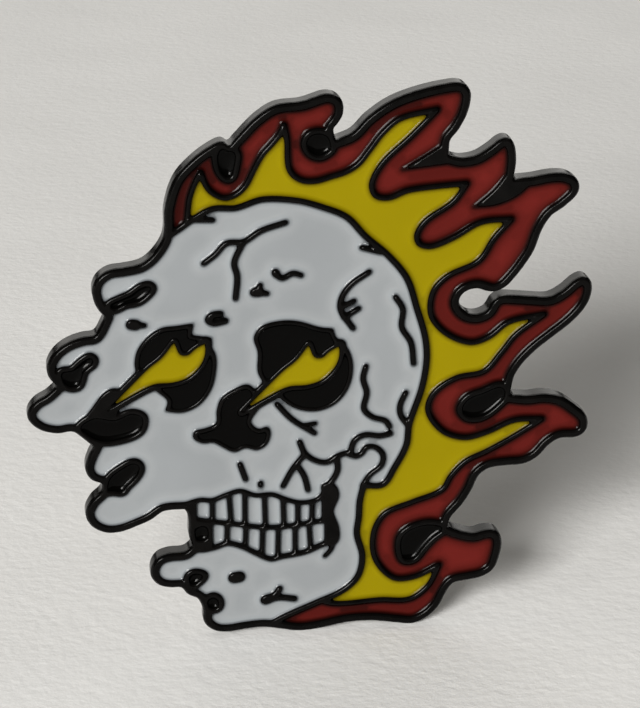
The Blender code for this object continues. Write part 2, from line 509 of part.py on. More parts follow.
def material(name, look):
    colour, roughness, metallic = look
    made = bpy.data.materials.new(name)
    made.use_nodes = True
    shader = made.node_tree.nodes["Principled BSDF"]
    shader.inputs["Base Color"].default_value = (*colour, 1)
    shader.inputs["Roughness"].default_value = roughness
    shader.inputs["Metallic"].default_value = metallic
    made.diffuse_color = (*colour, 1)
    return made


def finish(name, shape, look, parent=None, origin=(0, 0, 0), smooth=None):
    """Turns a bmesh in millimetres into a named object, with its origin at a point of the pin."""
    bmesh.ops.recalc_face_normals(shape, faces=shape.faces)
    bmesh.ops.translate(shape, verts=shape.verts, vec=-Vector(origin))
    bmesh.ops.scale(shape, verts=shape.verts, vec=(MM, MM, MM))
    mesh = bpy.data.meshes.new(name)
    shape.to_mesh(mesh)
    shape.free()
    made = bpy.data.objects.new(name, mesh)
    made.data.materials.append(material(name, look))
    made.location = Vector(origin) * MM
    bpy.context.scene.collection.objects.link(made)
    if smooth:
        mesh.shade_smooth()
        mesh.set_sharp_from_angle(angle=math.radians(smooth))
    if parent:
        made.parent = parent
        made.location = (Vector(origin) - Vector(parent["place_mm"])) * MM
    return made


def pivot(name, place, parent=None):
    """An empty at a joint, which the pieces that move with it hang from."""
    made = bpy.data.objects.new(name, None)
    made["place_mm"] = place
    made.location = Vector(place) * MM
    if parent:
        made.parent = parent
        made.location = (Vector(place) - Vector(parent["place_mm"])) * MM
    bpy.context.scene.collection.objects.link(made)
    return made


def region_triangles(loops):
    """Triangles that fill the space between these loops, indexing their points in order."""
    points = np.concatenate(loops)
    edges = []
    for loop in loops:
        first = len(edges)
        edges += [(first + i, first + (i + 1) % len(loop)) for i in range(len(loop))]
    corners, _, faces, _, _, _ = delaunay_2d_cdt([Vector(point) for point in points], edges, [], 0, 1e-7)
    assert len(corners) == len(points), "two outlines cross"
    kept = []
    for face in faces:
        middle = points[list(face)].mean(axis=0)
        if sum(holds(loop, middle) for loop in loops) % 2:
            kept.append(face)
    return kept


def add_ring(shape, loop, y):
    return [shape.verts.new((point[0], y, point[1])) for point in loop]


def add_walls(shape, first, second):
    for i in range(len(first)):
        j = (i + 1) % len(first)
        shape.faces.new((first[i], first[j], second[j], second[i]))


def add_fill(shape, rings, triangles):
    corners = [corner for ring in rings for corner in ring]
    for triangle in triangles:
        shape.faces.new([corners[i] for i in triangle])


def prism(loops, near, far):
    """A closed slab of this outline, with its islands left open, between two depths."""
    shape = bmesh.new()
    triangles = region_triangles(loops)
    fronts = [add_ring(shape, loop, near) for loop in loops]
    backs = [add_ring(shape, loop, far) for loop in loops]
    add_fill(shape, fronts, triangles)
    add_fill(shape, backs, [face[::-1] for face in triangles])
    for front, back in zip(fronts, backs):
        add_walls(shape, front, back)
    return shape


def metal_base(outline, pockets):
    """The struck plate: raised black lines round a pocket for each pool of enamel."""
    shape = bmesh.new()
    front = add_ring(shape, outline, -PLATE_THICKNESS)
    back = add_ring(shape, outline, 0)
    add_walls(shape, front, back)
    add_fill(shape, [back], region_triangles([outline]))
    lips = [front]
    lip_loops = [outline]
    for group in pockets:
        floor_rings = []
        for loop in group:
            lip = add_ring(shape, loop, -PLATE_THICKNESS)
            floor = add_ring(shape, loop, POCKET_DEPTH - PLATE_THICKNESS)
            add_walls(shape, lip, floor)
            lips.append(lip)
            lip_loops.append(loop)
            floor_rings.append(floor)
        add_fill(shape, floor_rings, region_triangles(group))
    add_fill(shape, lips, region_triangles(lip_loops))
    return finish("metal_base", shape, BLACK_METAL)


def enamel(name, group):
    """One pool of enamel, a hair smaller than its pocket."""
    loops = [shrunk(loop, ENAMEL_GAP) for loop in group]
    flush = name == "nose_pool" or "_eye_pool_" in name
    near = (FLUSH_RECESS if flush else ENAMEL_RECESS) - PLATE_THICKNESS
    far = POCKET_DEPTH - PLATE_THICKNESS - ENAMEL_GAP
    if "tooth" in name or name in ("skull_enamel", "jaw_enamel"):
        look = WHITE
    elif "pool" in name:
        look = BLACK
    else:
        look = RED if name == "flame_rim_enamel" else YELLOW
    return finish(name, prism(loops, near, far), look)


def turned(profile, centre, sides):
    """A solid turned about a line along +Y: the profile is (radius, y), and radius 0 is a pole."""
    shape = bmesh.new()
    rings = []
    for radius, y in profile:
        if radius == 0:
            rings.append([shape.verts.new((centre[0], y, centre[1]))])
            continue
        angles = [2 * math.pi * k / sides for k in range(sides)]
        ring = [(centre[0] + radius * math.cos(a), y, centre[1] + radius * math.sin(a)) for a in angles]
        rings.append([shape.verts.new(place) for place in ring])
    pairs = list(zip(rings, rings[1:]))
    if profile[0][0] and profile[-1][0]:
        pairs.append((rings[-1], rings[0]))
    for first, second in pairs:
        for k in range(sides):
            j = (k + 1) % sides
            if len(first) == 1:
                shape.faces.new((first[0], second[j], second[k]))
            elif len(second) == 1:
                shape.faces.new((first[k], first[j], second[0]))
            else:
                shape.faces.new((first[k], first[j], second[j], second[k]))
    return shape


def needle_post():
    """The post with its soldered pad, the groove that the clutch bites on, and its point."""
    foot = SOLDER_GAP + PAD_THICKNESS
    waist = POST_RADIUS - GROOVE_DEPTH
    groove_start = POST_LENGTH - GROOVE_START
    groove_end = POST_LENGTH - GROOVE_END
    profile = [
        (0, SOLDER_GAP),
        (PAD_RADIUS, SOLDER_GAP),
        (PAD_RADIUS, foot - PAD_BEVEL),
        (PAD_RADIUS - PAD_BEVEL, foot),
        (POST_RADIUS + POST_FILLET, foot),
        (POST_RADIUS, foot + POST_FILLET),
        (POST_RADIUS, groove_start),
        (waist, groove_start + GROOVE_SLOPE),
        (waist, groove_end - GROOVE_SLOPE),
        (POST_RADIUS, groove_end),
        (TIP_RADIUS, POST_LENGTH - TIP_LENGTH),
        (0, POST_LENGTH),
    ]
    return finish("needle_post", turned(profile, (0, 0), SIDES["needle_post"]), PLATED_STEEL, smooth=35)


def anti_spin_spur():
    """The short spike beside the post that stops the pin from turning on the cloth."""
    foot = SOLDER_GAP + SPUR_FOOT_HEIGHT
    profile = [
        (0, SOLDER_GAP),
        (SPUR_FOOT_RADIUS, SOLDER_GAP),
        (SPUR_FOOT_RADIUS, foot - PAD_BEVEL),
        (SPUR_RADIUS, foot),
        (SPUR_RADIUS, SPUR_LENGTH - SPUR_POINT),
        (0, SPUR_LENGTH),
    ]
    shape = turned(profile, SPUR_PLACE, SIDES["anti_spin_spur"])
    return finish("anti_spin_spur", shape, PLATED_STEEL, smooth=35)


def clutch_disc(slide):
    """The clutch's round dish: flat towards the cloth, its rim rolled up the other way."""
    low = FABRIC_GAP
    inner = DISC_RADIUS - SHEET
    collar = POST_HOLE + COLLAR_WIDTH
    profile = [
        (POST_HOLE, low),
        (DISC_RADIUS - DISC_CURL, low),
        (DISC_RADIUS - DISC_CURL / 4, low + DISC_CURL / 3),
        (DISC_RADIUS, low + DISC_CURL),
        (DISC_RADIUS, low + DISC_RIM),
        (inner, low + DISC_RIM),
        (inner, low + SHEET + DISC_CURL / 3),
        (inner - DISC_CURL / 2, low + SHEET),
        (collar, low + SHEET),
        (collar - COLLAR_HEIGHT / 2, low + SHEET + COLLAR_HEIGHT),
        (POST_HOLE, low + SHEET + COLLAR_HEIGHT),
    ]
    return finish("clutch_disc", turned(profile, (0, 0), SIDES["clutch_disc"]), GILT_BRASS, slide, smooth=35)


def strip(line, thickness, half_width):
    """A sheet bent along a line of (x, y) points, and this far to each side in z."""
    line = np.array(line, float)
    ahead = np.diff(line, axis=0)
    ahead /= np.linalg.norm(ahead, axis=1)[:, None]
    across = np.stack([-ahead[:, 1], ahead[:, 0]], axis=1)
    across = np.concatenate([across[:1], across[:-1] + across[1:], across[-1:]])
    across[1:-1] /= np.sum(across[1:-1] ** 2, axis=1)[:, None] / 2
    sides = (line + across * thickness / 2, line - across * thickness / 2)
    outline = np.concatenate([sides[0], sides[1][::-1]])
    shape = bmesh.new()
    rings = [[shape.verts.new((x, y, z)) for x, y in outline] for z in (-half_width, half_width)]
    add_walls(shape, *rings)
    count = len(line)
    for i in range(count - 1):
        quad = (i, i + 1, 2 * count - 2 - i, 2 * count - 1 - i)
        for ring in rings:
            shape.faces.new([ring[k] for k in quad])
    return shape


def cut(piece, name, shape):
    """Takes a helper shape away from a piece."""
    cutter = finish(name, shape, BLACK_METAL)
    cutter.hide_render = True
    cutter.display_type = "WIRE"
    piece.modifiers.new(name, "BOOLEAN").object = cutter
    piece.modifiers[name].operation = "DIFFERENCE"


def clutch_cap(head):
    """The folded strap over the disc: a floor with two cheeks that hold the wings."""
    low = FABRIC_GAP + HEAD_LIFT
    top = low + HEAD_HEIGHT
    middle = HEAD_HALF_Z - SHEET / 2
    line = [(middle, top), (middle, low + SHEET / 2), (-middle, low + SHEET / 2), (-middle, top)]
    shape = strip(line, SHEET, HEAD_HALF_X)
    for corner in shape.verts:
        z, y, x = corner.co
        taper = HEAD_TAPER if y > low + HEAD_HEIGHT / 2 else 1
        corner.co = (x * taper, y, z)
    made = finish("clutch_cap", shape, GILT_BRASS, head)
    hole = [(0, low - SHEET), (POST_HOLE, low - SHEET), (POST_HOLE, low + 2 * SHEET), (0, low + 2 * SHEET)]
    cut(made, "cap_hole_cutter", turned(hole, (0, 0), SIDES["hole"]))
    return made


def wing(name, side, head):
    """A spring wing: a jaw across the post, a bend at the pivot and a tab for the finger."""
    low = FABRIC_GAP + HEAD_LIFT
    jaw = low + JAW_HEIGHTS[name]
    tab = low + TAB_HEIGHT
    line = [(-JAW_REACH, jaw)]
    line += [(PIVOT_X + x, jaw + y) for x, y in WING_BEND]
    line += [(WING_SPAN + x, tab + y) for x, y in WING_TAB]
    line = [(side * x, y) for x, y in line]
    hinge = pivot(name + "_pivot", (side * PIVOT_X, jaw + PIVOT_RISE, 0), head)
    made = finish(name, strip(line, SHEET, WING_HALF_Z), GILT_BRASS, hinge, origin=hinge["place_mm"])
    rod = [(0, jaw - SHEET), (1, jaw - SHEET), (1, jaw + SHEET), (0, jaw + SHEET)]
    slot = turned(rod, (0, 0), SIDES["hole"])
    for corner in slot.verts:
        corner.co.x *= JAW_SLOT[0]
        corner.co.z *= JAW_SLOT[1]
    cut(made, name + "_slot_cutter", slot)
    return made


def build():
    for old in list(bpy.data.objects):
        bpy.data.objects.remove(old, do_unlink=True)
    outline, found = drawing(Grid(LOW, HIGH, CELL))
    metal_base(outline, found.values())
    for name, group in found.items():
        enamel(name, group)
    needle_post()
    anti_spin_spur()
    slide = pivot("clutch_slide", (0, FABRIC_GAP, 0))
    clutch_disc(slide)
    head = pivot("clutch_turn", (0, FABRIC_GAP + HEAD_LIFT, 0), slide)
    clutch_cap(head)
    wing("wing_right", 1, head)
    wing("wing_left", -1, head)


build()
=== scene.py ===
"""Looks of the enamel pin: rounded black lines, pools of enamel, a turned post and a pressed clutch.

The drawing is worked out in millimetres on the plate's face, x to the right and z up, and every depth
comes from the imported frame. Each pool of enamel stands for the CAD node of the same name.
"""

import math

import bmesh
import bpy
import numpy as np
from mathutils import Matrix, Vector
from mathutils.geometry import delaunay_2d_cdt
from numpy.linalg import norm


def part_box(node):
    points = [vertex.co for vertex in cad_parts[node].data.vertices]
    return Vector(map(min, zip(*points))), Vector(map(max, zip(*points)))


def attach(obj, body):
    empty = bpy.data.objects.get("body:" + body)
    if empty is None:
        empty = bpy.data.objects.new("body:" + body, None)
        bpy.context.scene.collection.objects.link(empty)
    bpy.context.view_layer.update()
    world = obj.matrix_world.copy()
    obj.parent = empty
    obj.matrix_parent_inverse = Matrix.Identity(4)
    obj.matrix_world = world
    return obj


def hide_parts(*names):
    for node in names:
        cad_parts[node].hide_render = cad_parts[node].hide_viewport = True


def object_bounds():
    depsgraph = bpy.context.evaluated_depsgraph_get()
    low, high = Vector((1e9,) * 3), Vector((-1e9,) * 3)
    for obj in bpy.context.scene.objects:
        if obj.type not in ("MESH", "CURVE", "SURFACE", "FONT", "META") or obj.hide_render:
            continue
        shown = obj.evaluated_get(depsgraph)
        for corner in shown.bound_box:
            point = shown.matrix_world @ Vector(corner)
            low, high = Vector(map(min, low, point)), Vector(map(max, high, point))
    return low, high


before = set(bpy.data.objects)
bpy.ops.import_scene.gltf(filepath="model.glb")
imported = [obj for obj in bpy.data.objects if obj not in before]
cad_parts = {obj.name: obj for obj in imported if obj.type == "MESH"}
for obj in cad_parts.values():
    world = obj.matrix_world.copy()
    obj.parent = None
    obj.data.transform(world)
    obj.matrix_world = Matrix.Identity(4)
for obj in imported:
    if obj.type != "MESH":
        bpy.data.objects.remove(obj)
cad_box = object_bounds()

MM = 0.001


def box_mm(node):
    low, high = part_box(node)
    return np.array(low) / MM, np.array(high) / MM


FACE, BACK = (corner[1] for corner in box_mm("metal_base"))
POCKET_FLOOR = box_mm("skull_enamel")[1][1] + 0.02  # the fills stop just above it

# Lines and pools, in the CAD's own widths
RIM_WIDTH = 0.39
THIN_RIM_WIDTH = 0.26
SKULL_LINE = 0.31
FLAME_LINE = 0.26
TOOTH_LINE = 0.25
SOCKET_RIM = 0.24
GLINT_RIM = 0.24
GLINT_LINE = 0.34
POOL_RIM = 0.3
LEAST_POOL = 0.12  # mm2

# Finer shape than the CAD's
LINE_ROUNDING = 0.13  # radius along the edges of the raised lines
LINE_LEVELS = (0, 0.18, 0.5, 1)  # shares of that radius where the mesh has a loop
MENISCUS = 0.13  # how far from a wall the enamel still climbs it
# How deep the enamel lies at its edge, and how much deeper in mid-pool
EDGE_RECESS = {"white": 0.1, "yellow": 0.1, "red": 0.11, "black": 0.16, "tooth": 0.19, "level": 0.025}
BELLY = {"white": 0.1, "yellow": 0.1, "red": 0.11, "black": 0.12, "tooth": 0.15, "level": 0.015}
ENAMEL_GAP = 0.012
RIM_SHADE = {"white": 0.6, "yellow": 0.16, "red": 0.34, "black": 0.16}  # how far from a wall the painted shade reaches in each colour, and on white a painted lighter band
SIDE_DRAFT = 0.08  # how far the plate's side stands out behind its face
SIDE_ROWS = [(0.03, 0.5), (0.1, 0.95), (0.55, 1.0), (0.85, 0.75), (1.0, 0.2)]  # (share of depth, of the draft)
BURR = 0.2  # how much the draft varies along the side, as a share of it
BURR_WAVES = (9.1, 7.3)  # radians per mm across and up

# Drawing grid and mesh spacings
CELL = 0.055
LOW = (-15.9, -16.9)
HIGH = (15.9, 15.4)
BAND = 1.3  # distances are true this far from a line
STEP = 0.08  # between samples of a curve
SPACING = 0.085  # between points along an edge
POOL_DEPTHS = [0, 0.05, 0.12, 0.25, 0.45, 0.75, 1.15]
POOL_SPACINGS = [0.085, 0.1, 0.14, 0.2, 0.3, 0.4, 0.5]
BLURS = 4
SIDE_BLURS = 14
LEAST_LOOP = 0.004  # mm2, smaller specks of a level are dropped
CLEAN = 1e-7  # points nearer than this are one

# Post, spur and clutch
POST_RADIUS = 0.575
WAIST_RADIUS = 0.435
PAD_THICKNESS = 0.3
SPUR_RADIUS = 0.38
SPUR_FOOT_RADIUS = 0.85
POST_HOLE = 0.85
CHEEK_TAPER = 0.72
PIVOT_X = 2.4
JAW_REACH = 1.35
JAW_SLOT = (0.95, 0.68)
RIB_HEIGHT = 0.07
RIB_PITCH = 0.62
RIB_FADE = 0.3

# Pressed sheet
SHEET = 0.3
SHEET_EDGE = 0.05
SHEET_STEP = 0.14
SHEET_ROWS = 15
SHEET_BEVEL = ((0.7, 0.7), (1, 0))  # (share of the edge outwards, share of it left in height)
SHARP = 42  # degrees, an edge that stays sharp

# View
AZIMUTH = -8.0
ELEVATION = 20.0
DISTANCE = 170.0
AIM = (0.48, -1.2, 0.05)
PICTURE_WIDTH = 640
FOCAL = 3230.0  # pixels
SENSOR = 36.0
FLOOR_REACH = 1.2  # metres

# The drawing's outlines, in mm
CORNER = True  # a third value in a point: the outline turns sharply there

OUTER_FLAMES = [
    (-7.6, 6.9), (-7.5, 8.4), (-7, 9.9), (-6.1, 10.9), (-5.1, 11.6), (-4.55, 11.8), (-4.2, 11.55, CORNER),
    (-3.75, 12.05), (-2.8, 13), (-1.8, 13.6), (-0.4, 13.75), (0.9, 14.1), (1.55, 13.8), (1.65, 13.1),
    (1.4, 12.6), (1.15, 12.25), (1.3, 11.65, CORNER), (2.2, 12), (3, 12.8), (4.2, 13.6), (5.6, 14.1),
    (7.1, 14.4), (7.9, 14.4), (8.3, 13.9), (8.15, 12.9), (7.7, 12), (7.25, 11.4), (7.2, 10.6, CORNER),
    (7.9, 10.4), (8.7, 10.5), (9.4, 10.9), (10, 11.35), (10.45, 11.35), (10.7, 10.8), (10.75, 10.1),
    (10.65, 9.15, CORNER), (11.7, 9.2), (12.7, 9.35), (13.5, 9.3), (14.1, 8.9), (14.1, 8.3), (13.4, 7.6),
    (12.7, 7.1), (12.2, 6.3), (11.8, 5.2), (11.3, 4.4), (10.8, 3.75), (10.3, 3.25), (9.75, 3.05),
    (8.8, 3.3), (8.1, 3.05), (7.85, 2.5), (8.2, 1.95), (8.8, 1.75), (9.4, 1.95), (9.8, 2.55), (10.2, 2.75),
    (11, 2.7), (11.9, 2.6), (12.8, 2.55), (13.5, 2.9), (14.1, 3.4), (14.6, 3.6), (14.95, 3.3), (14.95, 2.6),
    (14.6, 1.85), (13.9, 1.1), (13, 0.4), (12.1, -0.3), (11.4, -1), (10.9, -1.8), (10.7, -2.85, CORNER),
    (11.7, -3), (12.6, -2.95), (13.5, -3.15), (14.3, -3.7), (14.9, -4.3), (14.95, -5), (14.5, -5.4),
    (13.5, -5.45), (12.9, -5.8), (12.3, -6.45), (11.6, -6.8), (10.6, -6.85), (9.7, -6.95), (9.1, -7.35),
    (8.7, -8.2), (8.2, -9), (7.6, -9.7), (7.4, -10.3, CORNER), (8.1, -10.6), (8.9, -10.8), (9.6, -10.65),
    (10.15, -10.75), (10.4, -11.3), (10.3, -12.1), (10, -12.9), (9.4, -13.3), (8.6, -13.45), (7.8, -13.6),
    (7.4, -14.1), (7, -14.9), (6.4, -15.5), (5.6, -15.85), (4.7, -15.75), (3.4, -15.55), (2, -15.55),
    (0.5, -15.8), (-0.6, -15.9), (-1.7, -15.7),
]
OUTER_DRIPS = [
    (-2.6, -15.55), (-3.6, -15.6), (-4.5, -15.7), (-5.2, -15.6), (-5.75, -15.1), (-5.8, -14.3),
    (-6.1, -13.65), (-6.6, -13.4), (-7, -12.95), (-7.6, -12.9), (-8.15, -12.75), (-8.55, -12.3),
    (-8.55, -11.7), (-8.2, -11.2), (-7.6, -11), (-6.8, -10.95), (-6.35, -10.6, CORNER), (-6.5, -9.95),
    (-6.5, -9.3), (-6.55, -8.75), (-6.75, -8.4, CORNER), (-7.9, -8.45), (-8.6, -8.9), (-9.3, -9.2),
    (-10.2, -9.5), (-11, -9.5), (-11.7, -9.1), (-12, -8.4), (-11.7, -7.7), (-11.15, -7.15),
    (-11.1, -6.7, CORNER), (-11.7, -6.4), (-11.95, -5.8), (-11.75, -5.1), (-11.5, -4.6, CORNER),
    (-12, -4.1), (-12.6, -3.65), (-13.4, -3.7), (-14.2, -3.5), (-14.8, -3), (-14.9, -2.5), (-14.5, -1.95),
    (-13.9, -1.6), (-13.35, -1.1, CORNER), (-13.75, -0.5), (-13.8, 0.05), (-13.4, 0.75), (-12.7, 1.25),
    (-11.9, 1.5), (-11.3, 1.6), (-10.75, 2.6, CORNER), (-11.2, 3.3), (-11.35, 4.1), (-11.1, 4.7),
    (-10.5, 5.1), (-9.7, 5.2), (-8.8, 5.4), (-8.1, 6),
]
SKULL = [  # centre of the line between skull and flames, closed outside the plate
    (-8.2, 6.4, CORNER), (-6.9, 7.2), (-6.1, 7.75), (-5.1, 8.25), (-3.9, 8.25), (-2.5, 8.65), (-0.7, 8.5),
    (0.6, 8.1), (1.9, 7.5), (2.9, 6.4), (4.1, 5.3), (5.1, 4), (5.65, 2.3), (6.1, 0.7), (6.2, -0.6),
    (5.95, -2.2), (5.3, -4.2), (5.15, -5.4), (4.5, -6.7), (3.9, -7.6), (2.85, -7.6, CORNER), (2.65, -8.5),
    (2.6, -9.4), (2.5, -10.4), (2.8, -11.7), (2.55, -12.9), (1.7, -13.7), (0.3, -14.3), (-1.6, -15.1),
    (-3.2, -16, CORNER), (-3.2, -16.8, CORNER), (-15.8, -16.8, CORNER), (-15.8, 6.4, CORNER),
]
FLAME_CORE = [  # centre of the line between the two flame colours, closed inside the skull
    (-6.7, 6.9, CORNER), (-6.45, 7.6), (-6.37, 8.25), (-6.3, 8.8), (-6.13, 9.35), (-5.87, 9.95),
    (-5.69, 10.25, CORNER), (-5.45, 9.55), (-5.1, 9.1), (-4.5, 8.8), (-3.9, 8.95), (-3.38, 9.42),
    (-2.95, 10.25), (-2.5, 11.05), (-2, 11.6), (-1.6, 12.1), (-1.38, 12.6, CORNER), (-1.22, 11.75),
    (-1.2, 10.8), (-1.12, 10.25), (-0.85, 9.83), (-0.35, 9.55), (0.3, 9.52), (1, 9.7), (1.85, 9.95),
    (2.5, 10.35), (3.1, 11.1), (3.8, 12), (4.7, 12.7), (6.6, 13.1, CORNER), (5.2, 11.7), (3.8, 10.4),
    (3.2, 9.3), (3.4, 8.6), (4.1, 8.45), (5.1, 8.8), (6.5, 8.95), (8.2, 9.05, CORNER), (7.5, 8.1),
    (6.1, 7.15), (5.6, 6.4), (5.75, 5.85), (6.4, 5.7), (7.6, 6.15), (9, 6.9), (10.6, 7, CORNER), (9.7, 6),
    (8.9, 4.8), (7.3, 4.05), (6.5, 3.2), (6.4, 1.9), (7.2, 0.85), (8.5, 0.25), (9.5, 0.5), (10.6, 1.3),
    (12.5, 1.65, CORNER), (11, 0.6), (10.2, -0.4), (9.3, -1.4), (7.8, -1.7), (6.6, -2.5), (6.3, -3.5),
    (7.1, -4.7), (8.3, -5.15), (9.5, -4.9), (11, -4.3), (12.5, -4.3, CORNER), (11, -5.2), (9.6, -5.95),
    (8.4, -6.5), (7.6, -7.3), (7.1, -8.1), (5.5, -8.7), (4, -9.3), (3.4, -10.4), (3.5, -11.9), (4.5, -13.1),
    (5.7, -13.1), (7, -12.5, CORNER), (6.4, -13.7), (5.4, -14.4), (3.8, -14.35), (1.2, -14.4),
    (-0.2, -13.8, CORNER), (-4, -9, CORNER), (-4, 3, CORNER),
]
LEFT_SOCKET = [
    (-9.2, -0.5), (-9.2, 0.5), (-8.7, 1.3), (-7.9, 1.85), (-7, 1.95), (-6.15, 2.05, CORNER),
    (-6.3, 1.4, CORNER), (-5.75, 1.3), (-5.2, 1.2, CORNER), (-5.3, 0.8), (-5.05, 0.3), (-5, -0.4),
    (-5.25, -1.6), (-5.9, -2.5), (-6.8, -2.9), (-7.75, -2.8, CORNER), (-7.6, -2.2), (-8.1, -1.7),
]
RIGHT_SOCKET = [
    (-2.75, -1), (-2.8, 0.3), (-3, 1.1), (-2.6, 1.7), (-1.7, 1.95), (-0.7, 1.9), (0.5, 1.5),
    (1.2, 1.4, CORNER), (1.35, 0.9), (2, 0.2), (2.25, -0.8), (2, -2), (1.3, -2.85), (0.3, -3.2), (-0.8, -3),
    (-1.7, -2.3),
]
NOSE = [
    (-5, -2.9), (-4.75, -2.2), (-4.1, -1.75), (-3.4, -1.5), (-3, -1.8), (-2.7, -2.7), (-3.2, -3.6),
    (-2.8, -4.05), (-2.3, -3.95), (-2.15, -4.4), (-2.4, -5), (-2.9, -5.25), (-3.5, -5.1), (-4.1, -5.3),
    (-4.7, -5), (-5.2, -4.7), (-5.8, -4.7), (-6.25, -4.4), (-6.2, -4), (-5.6, -3.85), (-5.05, -3.6),
]
GLINT = [  # one lick of flame, drawn about the middle of an eye
    (-3.7, -2.15, CORNER), (-2.5, -0.95), (-1.5, 0.05), (-0.75, 0.65), (-0.1, 1.5, CORNER), (0.2, 0.75),
    (0.6, 0.7), (0.95, 1), (1.55, 1.35, CORNER), (1.5, 0.6), (1.2, 0), (0.6, -0.55), (-0.2, -0.8),
    (-1.2, -0.85), (-2.3, -1.35),
]
GLINT_PLACES = {"left_eye_glint": (-7.1, -0.4), "right_eye_glint": (0, -0.9)}

BLACK_POOLS = {
    "drip_gap_pool_1": [
        (-10.5, 3.25), (-10, 3.5), (-9.4, 3.75), (-8.9, 4.1), (-8.5, 4.2), (-8.35, 4.05), (-8.7, 3.65),
        (-9.1, 3.4), (-9.7, 3.3), (-10.3, 3.05),
    ],
    "drip_gap_pool_2": [
        (-13.1, -0.35), (-12.55, -0.27), (-12.1, 0.12), (-11.65, 0.4), (-11.47, 0.28), (-11.5, 0.08),
        (-11.8, -0.15), (-12.02, -0.4), (-12.12, -0.8), (-12.3, -1.12), (-12.7, -1.15), (-13, -0.9),
    ],
    "drip_gap_pool_3": [
        (-12.2, -3.5), (-11.5, -3), (-10.4, -3.15), (-9.5, -2.85), (-8.95, -3.1), (-9.1, -3.8), (-10, -4.2),
        (-11.2, -4.25),
    ],
    "drip_gap_pool_4": [
        (-10.75, -6.5), (-10.5, -6.2), (-10, -5.87), (-9.7, -5.7), (-9.4, -5.65), (-9.2, -5.8),
        (-9.17, -6.05), (-9.4, -6.45), (-9.9, -6.95), (-10.1, -7.2), (-10.5, -7.15), (-10.9, -7.1),
    ],
    "jaw_hinge_pool": [
        (-6.25, -9.6), (-5.65, -9.5), (-5.55, -10.05), (-5.85, -10.3), (-6.25, -10.15),
    ],
    "jaw_drip_pool_1": [
        (-6.6, -12.4), (-6.3, -12.2), (-5.85, -12.35), (-6.1, -12.65), (-6.45, -12.85),
    ],
    "jaw_drip_pool_2": [
        (-5.6, -13.8), (-5.3, -13.65), (-5.05, -13.85), (-5.05, -14.2), (-5.35, -14.32), (-5.6, -14.1),
    ],
    "flame_gap_pool_1": [
        (-4.6, 11.45), (-4.8, 11.1), (-4.75, 10.53), (-4.55, 10.1), (-4.26, 9.9), (-4.08, 10.05),
        (-3.95, 10.6), (-3.9, 11.1), (-4.1, 11.35),
    ],
    "flame_gap_pool_2": [
        (-0.2, 11.6), (-0.1, 11.25), (0.15, 11), (0.5, 10.9), (0.85, 11.05), (1.05, 11.25), (1, 11.6),
        (0.85, 11.9), (0.45, 12.05), (0, 11.95),
    ],
    "flame_gap_pool_3": [
        (8.15, -3.5), (8.5, -2.95), (9.3, -2.65), (10.2, -2.35), (10.5, -2.8), (9.9, -3.5), (9.2, -3.95),
        (8.5, -3.95),
    ],
    "flame_gap_pool_4": [
        (4.9, -11.4), (5, -10.7), (5.6, -10.25), (6.5, -10.1), (7.2, -10.35), (6.6, -10.85), (6.1, -11.4),
        (5.6, -12), (5.1, -12),
    ],
}
SOLID_WEDGES = [
    [(4.8, 9.95, CORNER), (6, 10.65), (7.2, 11.4, CORNER), (8.8, 10.3, CORNER), (6.8, 10.15)],
    [(-12.3, -3.3, CORNER), (-11.65, -2.5), (-11, -1.65), (-10.45, -1.35), (-9.9, -1.5, CORNER),
     (-10.2, -2.6), (-10.6, -3.2, CORNER), (-11.6, -3.4)],
    [(8.6, 7.75, CORNER), (9.7, 8.7), (10.6, 9.9, CORNER), (11.9, 9.2, CORNER), (10.9, 8.3), (9.8, 7.85)],
]
MOUTH = [
    (-7.2, -8.3, CORNER), (-6, -7.95), (-5.3, -8), (-4.6, -7.75), (-3.8, -7.55), (-3, -7.85), (-2.1, -7.85),
    (-1.4, -8.15), (-0.6, -8.4), (0.3, -8.3), (0.7, -7.9), (0.7, -7.5), (1.2, -7.55), (1.4, -8.1),
    (1.1, -9), (1.4, -10), (1.35, -10.75), (0.7, -10.9), (-0.3, -11.3), (-1.6, -11.5), (-2.2, -11.6),
    (-3, -11.2), (-3.7, -10.8), (-4.5, -10.55), (-5.2, -10.75), (-6, -10.85), (-7.2, -10.6, CORNER),
]
BITE = [(-6.3, -9.05), (-5.6, -9.2), (-4.2, -9.45), (-2.5, -9.75), (-1.2, -9.75), (0.2, -9.6), (1.1, -9.5)]
TEETH_START_X = (-6.15, -5.3)  # upper and lower rows
TEETH_END_X = (0.6, 0.75)
UPPER_GAPS = [((-5.3, -7.9), (-5.3, -9.3)), ((-4.4, -7.7), (-4.3, -9.4)), ((-3.55, -7.5), (-3.55, -9.6)),
              ((-2.5, -7.8), (-2.45, -9.8)), ((-1.5, -8.1), (-1.45, -9.8)), ((-0.7, -8.3), (-0.7, -9.8)),
              ((0.1, -8.2), (0.05, -9.6))]
LOWER_GAPS = [((-4.5, -9.4), (-4.55, -10.7)), ((-3.5, -9.6), (-3.55, -10.9)), ((-2.6, -9.8), (-2.65, -11.4)),
              ((-1.75, -9.8), (-1.8, -11.6)), ((-0.85, -9.8), (-0.85, -11.4)), ((-0.1, -9.6), (0, -11.3))]
